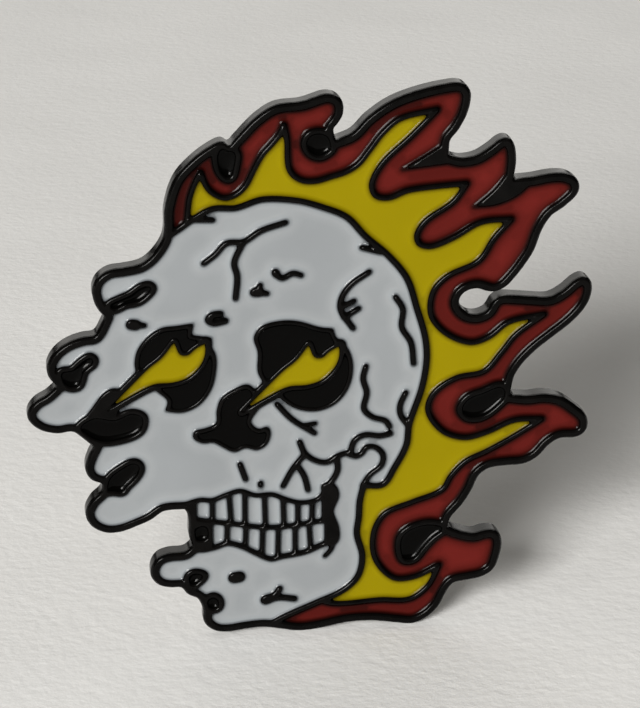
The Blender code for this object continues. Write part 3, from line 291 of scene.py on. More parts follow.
CRACKS = [  # free lines on the skull: (width, points)
    (0.3, [(-5.6, 5.3), (-5, 5.75), (-4.4, 6.35), (-3.5, 6.4), (-2.6, 6.95), (-1.3, 7.35)]),
    (0.3, [(-3.5, 6.4), (-4, 5.3), (-3.85, 4.5), (-3.95, 3.3)]),
    (0.3, [(-6, 7.7), (-5.1, 7.65)]),
    (0.3, [(3.7, 5.5), (2.7, 5.8)]),
    (0.58, [(-9.42, 2.13), (-9.2, 2.1)]),
    (0.29, [(-9.2, 2.1), (-8.75, 2.05)]),
    (0.35, [(-4.75, 2.5), (-5.2, 2.45), (-5.4, 2.2), (-5.15, 2), (-4.5, 2.1)]),
    (0.5, [(-2.95, 3.6), (-2.7, 3.6)]),
    (0.3, [(-2.75, 3.75), (-2.65, 3.98)]),
    (0.29, [(-2.6, 3.55), (-2.3, 3.5)]),
    (0.41, [(-1.85, 4.65), (-1.8, 4.55)]),
    (0.29, [(-1.8, 4.5), (-1.5, 4.3), (-0.95, 4.55), (-0.5, 4.42)]),
    (0.3, [(3.1, 4.45), (2.15, 3.8), (1.65, 3.1), (1.6, 2.4), (2.25, 1.35)]),
    (0.29, [(1.65, 2.6), (1.95, 2.7), (2.3, 2.88)]),
    (0.29, [(1.75, 2), (2.05, 2.15), (2.55, 2.45)]),
    (0.29, [(4.5, 3), (4.9, 2.3), (4.85, 1.3), (5.35, 0.4), (5.5, -0.8)]),
    (0.29, [(2.95, -0.8), (2.8, -1.5), (3, -2.3), (2.85, -3.2), (3.3, -3.7), (4, -3.95), (4.25, -4.3)]),
    (0.29, [(5.1, -2.4), (4.8, -3.1), (4.85, -3.7), (5.35, -4.4)]),
    (0.3, [(2.1, -5.8), (2.35, -5), (2.9, -4.7), (3.7, -4.8), (4.3, -4.7)]),
    (0.29, [(-0.6, -4.9), (-0.3, -5.6), (0.3, -6.05), (0.9, -6.15), (1.4, -5.85), (1.9, -5.7), (2.4, -5.9),
            (2.75, -5.75), (3, -5.4), (3.5, -5.45), (3.9, -5.9), (3.8, -6.5), (3.2, -7), (2.8, -7.6)]),
    (0.3, [(1.4, -5.9), (1.45, -6.6), (1.2, -7.15), (0.8, -7.6)]),
    (0.29, [(-0.3, -5.6), (-0.95, -6.4), (-1.5, -7.4)]),
    (0.29, [(-0.75, -6.2), (-0.35, -6.9), (-0.15, -7.7)]),
    (0.29, [(-1.8, -2.7), (-1, -3.6), (0.2, -4.45)]),
    (0.24, [(-0.5, -4), (0.25, -3.9)]),
    (0.29, [(-3.8, -6), (-3.5, -6.9)]),
    (0.3, [(-2.7, -7.15), (-2.7, -7.3)]),
    (0.62, [(-4.18, -12.57), (-3.88, -12.53)]),
    (0.54, [(-2.48, -13.98), (-2.25, -13.9)]),
    (0.34, [(-2.3, -13.85), (-1.95, -13.7), (-1.7, -13.35)]),
    (0.34, [(-2.2, -13.95), (-1.7, -13.88), (-0.9, -14)]),
    (0.24, [(1.25, -10.7), (1.1, -11.2), (0.75, -11.6)]),
]


# Curves and distance fields over the drawing

def curve(points, closed):
    """A smooth line through the points, broken at corners, as an array of close samples."""
    places = np.array([point[:2] for point in points], float)
    sharp = [len(point) > 2 for point in points]
    count = len(points)
    samples = []
    for i in range(count if closed else count - 1):
        j = (i + 1) % count
        start, end = places[i], places[j]
        before = start if sharp[i] or (i == 0 and not closed) else places[i - 1]
        after = end if sharp[j] or (j == count - 1 and not closed) else places[(j + 1) % count]
        length = norm(end - start)
        leave = (end - before) * length / (length + norm(start - before))
        arrive = (after - start) * length / (length + norm(after - end))
        t = np.linspace(0, 1, max(2, int(length / STEP) + 1), endpoint=False)[:, None]
        samples.append(
            (2 * t**3 - 3 * t**2 + 1) * start + (t**3 - 2 * t**2 + t) * leave
            + (3 * t**2 - 2 * t**3) * end + (t**3 - t**2) * arrive
        )
    if not closed:
        samples.append(places[-1:])
    return np.concatenate(samples)


class Grid:
    """Signed distances over the drawing, in mm, negative inside a shape."""

    def __init__(self, low, high, cell):
        self.low = np.array(low)
        self.cell = cell
        self.xs = np.arange(low[0], high[0] + cell, cell)
        self.zs = np.arange(low[1], high[1] + cell, cell)

    def window(self, near, far):
        first = np.maximum(np.floor((near - self.low - BAND) / self.cell).astype(int), 0)
        last = np.ceil((far - self.low + BAND) / self.cell).astype(int) + 1
        return slice(first[0], last[0]), slice(first[1], last[1])

    def stroke(self, points, width):
        """A line of this width with round ends."""
        return self.distance(curve(points, False), False) - width / 2

    def shape(self, points):
        outline = curve(points, True)
        return np.where(self.inside(outline), -1, 1) * self.distance(outline, True)

    def distance(self, outline, closed):
        field = np.full((len(self.xs), len(self.zs)), BAND)
        ends = np.roll(outline, -1, axis=0)
        for a, b in zip(outline if closed else outline[:-1], ends):
            along_x, along_z = self.window(np.minimum(a, b), np.maximum(a, b))
            x = self.xs[along_x, None] - a[0]
            z = self.zs[None, along_z] - a[1]
            step = b - a
            t = np.clip((x * step[0] + z * step[1]) / max(step @ step, 1e-12), 0, 1)
            near = np.hypot(x - t * step[0], z - t * step[1])
            field[along_x, along_z] = np.minimum(field[along_x, along_z], near)
        return field

    def inside(self, outline):
        """Even-odd test of every grid point, one edge at a time."""
        inside = np.zeros((len(self.xs), len(self.zs)), bool)
        for a, b in zip(outline, np.roll(outline, -1, axis=0)):
            rows = np.flatnonzero((self.zs > min(a[1], b[1])) & (self.zs <= max(a[1], b[1])))
            for row in rows:
                x = a[0] + (self.zs[row] - a[1]) * (b[0] - a[0]) / (b[1] - a[1])
                inside[: np.searchsorted(self.xs, x), row] ^= True
        return inside

    def sample(self, field, points):
        """The field at any points, interpolated."""
        at = (points - self.low) / self.cell
        whole = np.clip(np.floor(at).astype(int), 0, np.array(field.shape) - 2)
        (i, j), (u, v) = whole.T, (at - whole).T
        return (
            field[i, j] * (1 - u) * (1 - v) + field[i + 1, j] * u * (1 - v)
            + field[i, j + 1] * (1 - u) * v + field[i + 1, j + 1] * u * v
        )

    def growth(self, field, points):
        """Which way the field grows at these points, and how fast: more slowly where two walls are near."""
        along_x, along_z = np.gradient(field, self.cell)
        return np.stack([self.sample(along_x, points), self.sample(along_z, points)], axis=1)

    def slope(self, field, points):
        """Which way the field grows at these points, as unit vectors."""
        found = self.growth(field, points)
        return found / np.maximum(norm(found, axis=1), 1e-6)[:, None]

    def contours(self, field):
        """Closed loops round the negative side of the field, anticlockwise round its islands."""
        low = field < 0
        links = []
        cells = low[:-1, :-1].astype(int) + 2 * low[1:, :-1] + 4 * low[1:, 1:] + 8 * low[:-1, 1:]
        sides = {
            1: [(0, 3)], 2: [(1, 0)], 3: [(1, 3)], 4: [(2, 1)], 6: [(2, 0)], 7: [(2, 3)],
            8: [(3, 2)], 9: [(0, 2)], 11: [(1, 2)], 12: [(3, 1)], 13: [(0, 1)], 14: [(3, 0)],
            5: [(0, 3), (2, 1)], 10: [(1, 0), (3, 2)],
        }
        for i, j in np.argwhere((cells > 0) & (cells < 15)).tolist():
            edges = ((i, j, 0), (i + 1, j, 1), (i, j + 1, 0), (i, j, 1))
            links += [(edges[start], edges[end]) for start, end in sides[cells[i, j]]]
        return [np.array([self.crossing(field, edge) for edge in loop]) for loop in chains(links)]

    def crossing(self, field, edge):
        i, j, upright = edge
        here = field[i, j]
        there = field[i, j + 1] if upright else field[i + 1, j]
        share = np.clip(here / (here - there), 0.02, 0.98) * self.cell
        return (self.xs[i] + (0 if upright else share), self.zs[j] + (share if upright else 0))


def area(loop):
    x, z = loop.T
    return 0.5 * float(np.sum(x * np.roll(z, -1) - np.roll(x, -1) * z))


def holds(loop, point):
    """Whether the loop goes round the point."""
    (x, z), (next_x, next_z) = loop.T, np.roll(loop, -1, axis=0).T
    crosses = (z > point[1]) != (next_z > point[1])
    at = x[crosses] + (point[1] - z[crosses]) * (next_x - x)[crosses] / (next_z - z)[crosses]
    return bool(np.sum(at > point[0]) % 2)


def softened(field, blurs=BLURS):
    """The field with its sharpest corners rounded, by a narrow blur."""
    for _ in range(blurs):
        for axis in (0, 1):
            ends = [(0, 0), (0, 0)]
            ends[axis] = (1, 1)
            wide = np.pad(field, ends, mode="edge")
            before, after = (wide[:-2], wide[2:]) if axis == 0 else (wide[:, :-2], wide[:, 2:])
            field = field / 2 + (before + after) / 4
    return field


def lengths(path):
    """How far along the path each of its points is."""
    return np.concatenate([[0], np.cumsum(norm(np.diff(path, axis=0), axis=1))])


def resampled(loop, spacing):
    """The loop with points at even steps along it."""
    closed = np.concatenate([loop, loop[:1]])
    run = lengths(closed)
    count = max(6, int(round(run[-1] / spacing)))
    at = np.arange(count) * run[-1] / count
    return np.stack([np.interp(at, run, closed[:, 0]), np.interp(at, run, closed[:, 1])], axis=1)


def pools(field, grid):
    """The outline of each separate region below zero, largest first."""
    loops = [loop for loop in grid.contours(field) if area(loop) > LEAST_POOL]
    return sorted(loops, key=area, reverse=True)


# Drawing

def moved(points, by):
    return [(point[0] + by[0], point[1] + by[1], *point[2:]) for point in points]


def drawing(grid):
    """The plate's field, and the outline, field and colour of each pool of enamel, by node name."""
    plate = grid.shape(OUTER_FLAMES + OUTER_DRIPS)
    skull = grid.shape(SKULL)
    core = grid.shape(FLAME_CORE)
    mouth = grid.shape(MOUTH)
    black = {name: grid.shape(points) for name, points in BLACK_POOLS.items()}
    wedges = np.minimum.reduce([grid.shape(points) for points in SOLID_WEDGES])
    glints = {name: grid.shape(moved(GLINT, place)) for name, place in GLINT_PLACES.items()}
    sockets = {"left": grid.shape(LEFT_SOCKET), "right": grid.shape(RIGHT_SOCKET)}
    nose = grid.shape(NOSE)
    glint = np.minimum.reduce(list(glints.values()))
    cracks = np.minimum.reduce([grid.stroke(points, width) for width, points in CRACKS])
    gaps = [grid.stroke(points, TOOTH_LINE) for points in [BITE, *UPPER_GAPS, *LOWER_GAPS]]

    inner = np.maximum.reduce([plate + RIM_WIDTH, -wedges] + [POOL_RIM - field for field in black.values()])
    holes = np.minimum.reduce([glint - GLINT_LINE, mouth - TOOTH_LINE / 2, cracks, nose, *sockets.values()])
    white = softened(np.maximum.reduce([inner, skull + SKULL_LINE / 2, -holes]))
    found = {}

    def fill(name, field, colour):
        field = softened(field)
        found[name] = (pools(field, grid)[0], field, colour)

    face, jaw = pools(white, grid)[:2]
    found["skull_enamel"] = (face, white, "white")
    found["jaw_enamel"] = (jaw, white, "white")
    flames = np.maximum(inner, SKULL_LINE / 2 - skull)
    fill("flame_core_enamel", np.maximum(flames, core + FLAME_LINE / 2), "yellow")
    fill("flame_rim_enamel", np.maximum(flames, FLAME_LINE / 2 - core), "red")
    for name, field in black.items():
        fill(name, np.maximum(field, plate + THIN_RIM_WIDTH), "black")
    fill("nose_pool", np.maximum(nose + SOCKET_RIM, GLINT_RIM - glint), "black")
    for side, socket in sockets.items():
        field = softened(np.maximum(socket + SOCKET_RIM, GLINT_RIM - glint))
        halves = sorted(pools(field, grid)[:2], key=lambda outline: outline[:, 1].mean())
        for half, outline in zip(("lower", "upper"), halves):
            found[f"{side}_eye_pool_{half}"] = (outline, field, "black")
    for name, field in glints.items():
        fill(name, field, "yellow")
    gaps += [field - TOOTH_LINE / 2 for field in black.values()]
    found.update(teeth(mouth, gaps, grid))
    return softened(plate), found


def teeth(mouth, gaps, grid):
    """The pool of each tooth, numbered from the left of the face."""
    bite = curve(BITE, False)
    bite_z = np.interp(grid.xs, bite[:, 0], bite[:, 1])[:, None]
    found = {}
    rows = (("upper", bite_z - grid.zs[None, :]), ("lower", grid.zs[None, :] - bite_z))
    for (row, side), start, end in zip(rows, TEETH_START_X, TEETH_END_X):
        ends = np.maximum(start - grid.xs, grid.xs - end)[:, None]
        band = np.maximum.reduce([mouth + TOOTH_LINE / 2, side, ends + 0 * side] + [-gap for gap in gaps])
        band = softened(band)
        outlines = sorted(pools(band, grid), key=lambda outline: outline[:, 0].mean())
        for number, outline in enumerate(outlines, 1):
            found[f"{row}_tooth_{number}"] = (outline, band, "white")
    return found


# Meshes

def ring_edges(loops):
    """The edges round each loop, numbered as if the loops were one list of points."""
    edges = []
    for loop in loops:
        first = len(edges)
        edges += [(first + i, first + (i + 1) % len(loop)) for i in range(len(loop))]
    return edges


def netted(loops, spots=()):
    """Triangles over the hull of the loops and spots, their edges, and the loop edges under each of those."""
    points = [Vector(point) for point in np.concatenate([*loops, *spots])]
    corners, joins, faces, _, sources, _ = delaunay_2d_cdt(points, ring_edges(loops), [], 0, CLEAN)
    return np.array([corner[:] for corner in corners]), np.array(faces), joins, sources


def triangulated(loops, borders):
    """Triangles over the hull of the loops, and for each the part of the plane it lies in.

    Two triangles are in different parts when an edge of one of the first `borders` loops runs
    between them. Returns the points, the triangles, turned so that their normals look along -Y,
    and the part of each.
    """
    points, faces, joins, sources = netted(loops)
    most = sum(len(loop) for loop in loops[:borders])
    walls = {(min(join), max(join)) for join, source in zip(joins, sources) if any(i < most for i in source)}
    sides = {}
    for number, face in enumerate(faces.tolist()):
        for a, b in zip(face, face[1:] + face[:1]):
            sides.setdefault((min(a, b), max(a, b)), []).append(number)
    beside = [[] for _ in faces]
    for join, pair in sides.items():
        if len(pair) == 2 and join not in walls:
            beside[pair[0]].append(pair[1])
            beside[pair[1]].append(pair[0])
    part = [-1] * len(faces)
    count = 0
    for start in range(len(faces)):
        if part[start] >= 0:
            continue
        part[start] = count
        stack = [start]
        while stack:
            for other in beside[stack.pop()]:
                if part[other] < 0:
                    part[other] = count
                    stack.append(other)
        count += 1
    turn = doubled_areas(points, faces) > 0
    return points, np.where(turn[:, None], faces, faces[:, ::-1]), np.array(part)


def doubled_areas(points, faces):
    """Twice each triangle's area, positive where it runs anticlockwise in (x, z)."""
    a, b, c = (points[faces[:, k]] for k in range(3))
    return (b - a)[:, 0] * (c - a)[:, 1] - (b - a)[:, 1] * (c - a)[:, 0]


def below(grid, field, points, faces, part):
    """Whether the field's mean over each triangle's part of the plane is negative."""
    size = np.abs(doubled_areas(points, faces)) + 1e-12
    values = grid.sample(field, points[faces].mean(axis=1))
    total = np.bincount(part, weights=values * size) / np.bincount(part, weights=size)
    return total[part] < 0


def main_part(chosen, points, faces, part):
    """The triangles of the largest part among the chosen ones."""
    size = np.abs(doubled_areas(points, faces))
    return part == np.bincount(part, weights=size * chosen).argmax()


def border_edges(faces):
    """The directed edges that only one of these triangles has."""
    edges = np.concatenate([faces[:, [0, 1]], faces[:, [1, 2]], faces[:, [2, 0]]])
    keys = np.sort(edges, axis=1)
    _, index, count = np.unique(keys, axis=0, return_inverse=True, return_counts=True)
    return edges[count[index.reshape(-1)] == 1]


def chains(edges):
    """Directed edges joined end to end into closed loops of what they join."""
    after = {}
    for a, b in edges:
        after.setdefault(a, []).append(b)
    loops = []
    while after:
        first = next(iter(after))
        loop = [first]
        while True:
            ways = after[loop[-1]]
            following = ways.pop()
            if not ways:
                del after[loop[-1]]
            if following == first:
                break
            loop.append(following)
        loops.append(loop)
    return loops


def linked(name, data):
    """An object of this data, in the scene."""
    made = bpy.data.objects.new(name, data)
    bpy.context.scene.collection.objects.link(made)
    return made


class Shape:
    """A mesh being put together in mm: vertices, their normals (zero where automatic), rims and faces."""

    def __init__(self):
        self.places = []
        self.normals = []
        self.rims = []
        self.faces = []
        self.count = 0

    def add(self, places, normals=None, rims=None):
        """Adds vertices and returns the first's number. Rims go from 0, mid-pool, to 1, at a wall."""
        places = np.asarray(places, float)
        first = self.count
        self.places.append(places)
        self.normals.append(np.zeros_like(places) if normals is None else normals)
        self.rims.append(np.zeros(len(places)) if rims is None else rims)
        self.count += len(places)
        return first

    def faces_from(self, faces):
        self.faces += np.asarray(faces).tolist()

    def walls(self, edges, first, second):
        """A quad for each directed edge, from one copy of its vertices to another."""
        a, b = edges.T
        self.faces_from(np.stack([b + first, a + first, a + second, b + second], axis=1))

    def made(self, name, look):
        mesh = bpy.data.meshes.new(name)
        mesh.from_pydata((np.concatenate(self.places) * MM).tolist(), [], self.faces)
        normals = np.concatenate(self.normals)
        rims = mesh.attributes.new("rim", "FLOAT", "POINT")
        rims.data.foreach_set("value", np.concatenate(self.rims).astype(np.float32))
        mesh.shade_smooth()
        mesh.validate()
        if np.any(normals):
            mesh.normals_split_custom_set_from_vertices(normals.tolist())
        mesh.materials.append(look)
        return linked(name, mesh)


def over(points, depth):
    """Points of the drawing at these depths."""
    return np.stack([points[:, 0], np.broadcast_to(depth, len(points)), points[:, 1]], axis=1)


def levels(field, grid, depths, spacings):
    """Loops round the field's negative side at each depth below zero, shallowest first."""
    found = []
    for depth, spacing in zip(depths, spacings):
        loops = [resampled(loop, spacing) for loop in grid.contours(field + depth)]
        found.append([loop for loop in loops if abs(area(loop)) > LEAST_LOOP])
    return found


def plate(grid, field, found, look):
    """The struck plate: rounded lines, pockets down to their floors, a drafted side and a flat back."""
    metal = np.maximum(field, -np.minimum.reduce([pool for _, pool, _ in found.values()]))
    rounding = LINE_ROUNDING
    loops = levels(metal, grid, [share * rounding for share in LINE_LEVELS], [SPACING] * len(LINE_LEVELS))
    points, faces, part = triangulated(sum(loops, []), len(loops[0]))
    middles = points[faces].mean(axis=1)
    top = below(grid, metal, points, faces, part)
    pocket = ~top & below(grid, field, points, faces, part)
    sunk = np.zeros(len(faces), bool)
    for outline, _, _ in found.values():
        near = np.all((middles > outline.min(axis=0)) & (middles < outline.max(axis=0)), axis=1)
        tries = zip(near & pocket, middles)
        inside = np.array([bool(hit) and holds(outline, middle) for hit, middle in tries])
        sunk |= main_part(inside, points, faces, part)

    deep = np.clip(-grid.sample(metal, points), 0, rounding)
    lean = (rounding - deep) / rounding
    upright = np.sqrt(1 - lean**2)
    outward = grid.slope(softened(metal), points) * lean[:, None]
    shape = Shape()
    shape.add(over(points, FACE + rounding * (1 - upright)), over(outward, -upright))
    shape.faces_from(faces[top | (pocket & ~sunk)])

    # Pockets
    edges = border_edges(faces[sunk])
    low = shape.add(over(points, POCKET_FLOOR))
    shape.walls(edges, 0, low)
    shape.faces_from(faces[sunk] + low)

    # Side, in rows that follow the outline outwards
    edges = border_edges(faces[top | pocket])
    even = softened(field, SIDE_BLURS)
    way = grid.slope(even, points)
    push = grid.growth(even, points)
    push *= norm(push, axis=1)[:, None] ** 2
    across, up = (points * BURR_WAVES).T
    burr = 1 + 0.5 * np.sin(across + 2 * np.sin(up))
    draft = push * SIDE_DRAFT * (1 - BURR / 2 + BURR / 2 * burr[:, None])
    before = 0
    for share, run in SIDE_ROWS:
        place = points + draft * run
        row = shape.add(over(place, FACE + rounding + share * (BACK - FACE - rounding)), over(way, 0))
        shape.walls(edges[:, ::-1], row, before)
        before = row
    rim = [place[loop] for loop in chains(edges.tolist())]
    corners, backs, part = triangulated(rim, len(rim))
    metal = below(grid, field, corners, backs, part)
    back = shape.add(over(corners, BACK), np.tile([0.0, 1.0, 0.0], (len(corners), 1)))
    shape.faces_from(backs[metal][:, ::-1] + back)
    return shape.made("struck_plate", look)


def enamel(name, grid, outline, field, colour, look):
    """One pool of enamel: it climbs the lines round it and lies lower in the middle."""
    rings = levels(field, grid, [ENAMEL_GAP + depth for depth in POOL_DEPTHS], POOL_SPACINGS)
    loops = [[loop for loop in ring if holds(outline, loop[0])] for ring in rings]
    points, faces, part = triangulated(sum(loops, []), len(loops[0]))
    faces = faces[main_part(below(grid, field, points, faces, part), points, faces, part)]
    deep = np.maximum(-grid.sample(field, points) - ENAMEL_GAP, 0)
    kind = colour
    if name == "nose_pool" or "_eye_pool_" in name:
        kind = "level"
    elif "_tooth_" in name:
        kind = "tooth"
    climb = np.exp(-deep / MENISCUS)
    depth = FACE + EDGE_RECESS[kind] + BELLY[kind] * (1 - climb)
    steep = BELLY[kind] / MENISCUS * climb
    normals = over(-grid.slope(softened(field), points) * steep[:, None], -1)
    normals /= norm(normals, axis=1)[:, None]
    shape = Shape()
    # The rim value, 1 at a wall and fading towards mid-pool, drives the painted shade at the pool's edges and
    # white's painted lighter band
    shape.add(over(points, depth), normals, np.exp(-deep / RIM_SHADE[colour]))
    shape.faces_from(faces)
    edges = border_edges(faces)
    under = shape.add(over(points, POCKET_FLOOR - ENAMEL_GAP))
    shape.walls(edges[:, ::-1], under, 0)
    shape.faces_from(faces[:, ::-1] + under)
    return shape.made(name + "_fill", look)


def filleted(line, radii, closed=False, steps=5):
    """The line with each corner turned into an arc of its radius."""
    line = np.array(line, float)
    count = len(line)
    points = [] if closed else [line[0]]
    for i in range(count) if closed else range(1, count - 1):
        corner = line[i]
        back = line[i - 1] - corner
        ahead = line[(i + 1) % count] - corner
        least = min(norm(back), norm(ahead))
        back /= norm(back)
        ahead /= norm(ahead)
        half = math.acos(np.clip(back @ ahead, -1, 1)) / 2
        radius = radii[i] if hasattr(radii, "__len__") else radii
        reach = min(radius / math.tan(half), 0.48 * least)
        if reach < 1e-4 or half > 1.5:
            points.append(corner)
            continue
        radius = reach * math.tan(half)
        centre = corner + (back + ahead) / norm(back + ahead) * radius / math.sin(half)
        start, end = corner + back * reach - centre, corner + ahead * reach - centre
        sweep = math.pi - 2 * half
        for k in range(steps + 1):
            t = k / steps * sweep
            points.append(centre + (math.sin(sweep - t) * start + math.sin(t) * end) / math.sin(sweep))
    if not closed:
        points.append(line[-1])
    return np.array(points)


def turned(name, profile, centre, sides, look, closed=False):
    """A piece turned about a line along +Y: the profile is (radius, y), and open ends are poles."""
    shape = bmesh.new()
    rings = []
    for radius, y in profile:
        if radius < 1e-6:
            rings.append([shape.verts.new((centre[0], y, centre[1]))])
            continue
        turns = [2 * math.pi * k / sides for k in range(sides)]
        places = [(centre[0] + radius * math.cos(a), y, centre[1] + radius * math.sin(a)) for a in turns]
        rings.append([shape.verts.new(place) for place in places])
    pairs = list(zip(rings, rings[1:]))
    if closed:
        pairs.append((rings[-1], rings[0]))
    for first, second in pairs:
        for k in range(sides):
            j = (k + 1) % sides
            corners = [first[k % len(first)], first[j % len(first)]]
            corners += [second[j % len(second)], second[k % len(second)]]
            shape.faces.new(tuple(dict.fromkeys(corners)))  # a pole comes once
    return solid(name, shape, look)


def solid(name, shape, look):
    """Turns a bmesh in mm into a smooth piece."""
    bmesh.ops.recalc_face_normals(shape, faces=shape.faces)
    bmesh.ops.scale(shape, verts=shape.verts, vec=(MM, MM, MM))
    mesh = bpy.data.meshes.new(name)
    shape.to_mesh(mesh)
    shape.free()
    mesh.shade_smooth()
    mesh.set_sharp_from_angle(angle=math.radians(SHARP))
    mesh.materials.append(look)
    return linked(name, mesh)


def inset(loop, by):
    """The loop moved towards its left side."""
    ahead = np.roll(loop, -1, axis=0) - loop
    ahead /= norm(ahead, axis=1)[:, None]
    left = np.stack([-ahead[:, 1], ahead[:, 0]], axis=1)
    both = left + np.roll(left, 1, axis=0)
    scale = np.maximum(np.sum(both * left, axis=1), 0.5)
    return loop + by * both / scale[:, None]


def pressed(name, path, outlines, place, look, relief=None):
    """A sheet cut to an outline with holes, drawn flat as (run, across), and bent along a path.

    The outer outline runs anticlockwise and the holes clockwise. `place` turns (along, up, across)
    into a point of the pin, and `relief` gives how far the sheet is pressed up at a point.
    """
    run = lengths(path)
    ahead = np.gradient(path, run, axis=0)
    ahead /= norm(ahead, axis=1)[:, None]

    def bent(flat, height):
        u = flat[:, 0]
        along = np.interp(u, run, path[:, 0])
        up = np.interp(u, run, path[:, 1])
        tilt = np.stack([-np.interp(u, run, ahead[:, 1]), np.interp(u, run, ahead[:, 0])], axis=1)
        tilt /= norm(tilt, axis=1)[:, None]
        raised = height + (relief(flat) if relief else 0)
        return place(along + tilt[:, 0] * raised, up + tilt[:, 1] * raised, flat[:, 1])

    def within(point):
        return holds(inner[0], point) and not any(holds(hole, point) for hole in inner[1:])

    outlines = [resampled(loop, SHEET_STEP) for loop in outlines]
    inner = [inset(loop, SHEET_EDGE) for loop in outlines]
    low, high = outlines[0].min(axis=0), outlines[0].max(axis=0)
    us = np.arange(low[0], high[0], SHEET_STEP)
    vs = np.linspace(low[1], high[1], SHEET_ROWS)
    spots = np.stack(np.meshgrid(us, vs, indexing="ij"), axis=-1).reshape(-1, 2)
    spots = spots[[within(spot) for spot in spots]]
    far = np.array([min(np.abs(loop - spot).sum(axis=1).min() for loop in inner) for spot in spots])
    spots = spots[far > SHEET_STEP / 2]
    flat, faces, _, _ = netted(inner, [spots])
    faces = faces[[within(middle) for middle in flat[faces].mean(axis=1)]]
    half = SHEET / 2
    shape = bmesh.new()
    tops = [shape.verts.new(point) for point in bent(flat, half)]
    bottoms = [shape.verts.new(point) for point in bent(flat, -half)]
    for a, b, c in faces.tolist():
        shape.faces.new((tops[a], tops[b], tops[c]))
        shape.faces.new((bottoms[c], bottoms[b], bottoms[a]))
    at = 0
    for loop, outer in zip(inner, outlines):
        size = len(loop)
        rings = [tops[at : at + size]]
        for sign, rows in ((1, SHEET_BEVEL), (-1, SHEET_BEVEL[::-1])):
            for share, left in rows:
                ring = bent(loop + (outer - loop) * share, sign * (half - SHEET_EDGE * (1 - left)))
                rings.append([shape.verts.new(point) for point in ring])
        rings.append(bottoms[at : at + size])
        for first, second in zip(rings, rings[1:]):
            for i in range(size):
                j = (i + 1) % size
                shape.faces.new((first[i], second[i], second[j], first[j]))
        at += size
    return solid(name, shape, look)


def strip_outline(edge, radii):
    """A strip's outline from one long edge of it, with rounded corners."""
    corners = [(u, -v) for u, v in edge] + edge[::-1]
    return filleted(corners, radii + radii[::-1], closed=True, steps=6)


def oval(centre, half_u, half_v):
    """A hole's outline, clockwise."""
    turns = np.linspace(0, -2 * math.pi, 40, endpoint=False)
    return np.stack([centre[0] + half_u * np.cos(turns), centre[1] + half_v * np.sin(turns)], axis=1)


def needle_post(look):
    """The post with its soldered pad, a waist for the clutch's jaws, and its point."""
    low, high = box_mm("needle_post")
    foot, tip, pad = low[1], high[1], high[0]
    profile = [
        (0, foot), (pad, foot), (pad, foot + PAD_THICKNESS), (POST_RADIUS, foot + PAD_THICKNESS),
        (POST_RADIUS, tip - 2.1), (WAIST_RADIUS, tip - 1.85), (WAIST_RADIUS, tip - 1.45),
        (POST_RADIUS, tip - 1.2), (POST_RADIUS - 0.06, tip - 0.75), (0.22, tip), (0, tip),
    ]
    line = filleted(profile, [0, 0, 0.1, 0.25, 0.2, 0.12, 0.12, 0.2, 0.3, 0.3, 0], steps=6)
    return turned("post_turned", line, (0, 0), 96, look)


def spur(look):
    """The short spike beside the post, on its soldered foot."""
    low, high = box_mm("anti_spin_spur")
    centre = ((low[0] + high[0]) / 2, (low[2] + high[2]) / 2)
    foot, tip = low[1], high[1]
    profile = [
        (0, foot), (SPUR_FOOT_RADIUS, foot), (SPUR_FOOT_RADIUS, foot + 0.26), (SPUR_RADIUS, foot + 0.33),
        (SPUR_RADIUS, tip - 0.8), (0.07, tip - 0.04), (0, tip),
    ]
    line = filleted(profile, [0, 0, 0.1, 0.16, 0.25, 0.05, 0], steps=6)
    return turned("spur_turned", line, centre, 64, look)


def disc(look):
    """The clutch's dish: a rolled rim, a pressed step ring and a lip round the hole."""
    low, high = box_mm("clutch_disc")
    base, top, outer = low[1], high[1], high[0]
    flat = base + SHEET
    profile = [
        (POST_HOLE, base), (2.9, base), (3.15, base + 0.1), (4.2, base + 0.1), (4.45, base),
        (outer - 0.25, base), (outer, base + 0.35), (outer, top), (outer - 0.5, top),
        (outer - 0.5, top - 0.16), (outer - SHEET, top - 0.16), (outer - SHEET, flat + 0.12),
        (outer - SHEET - 0.17, flat), (4.5, flat), (4.25, flat + 0.1), (3.1, flat + 0.1), (2.85, flat),
        (POST_HOLE + 0.45, flat), (POST_HOLE + 0.34, flat + 0.22), (POST_HOLE, flat + 0.22),
    ]
    rim_radii = [0.2, 0.3, 0.3, 0.14, 0.14, 0.05, 0.05, 0.15, 0.15]
    line = filleted(profile, [0.08, 0.2, 0.2, 0.2] + rim_radii + [0.2] * 4 + [0.1, 0.1, 0.06], closed=True)
    return turned("disc_pressed", line, (0, 0), 128, look, closed=True)


def cap(look):
    """The folded strap over the disc: a floor with two cheeks that hold the wings."""
    low, high = box_mm("clutch_cap")
    half = high[2] - SHEET / 2
    floor = low[1] + SHEET / 2
    path = filleted([(-half, high[1]), (-half, floor), (half, floor), (half, high[1])], 0.45, steps=8)
    run = lengths(path)[-1]
    wide = high[0]
    root = 1.5
    slim = wide * CHEEK_TAPER
    outline = strip_outline([(0, slim), (root, wide), (run - root, wide), (run, slim)], [0.9, 0.8, 0.8, 0.9])
    hole = oval((run / 2, 0), POST_HOLE, POST_HOLE)
    ears = [oval((u, 0), 0.42, 0.42) for u in (0.95, run - 0.95)]

    def place(along, up, across):
        return np.stack([-across, up, along], axis=1)

    return pressed("cap_folded", path, [outline, hole, *ears], place, look)


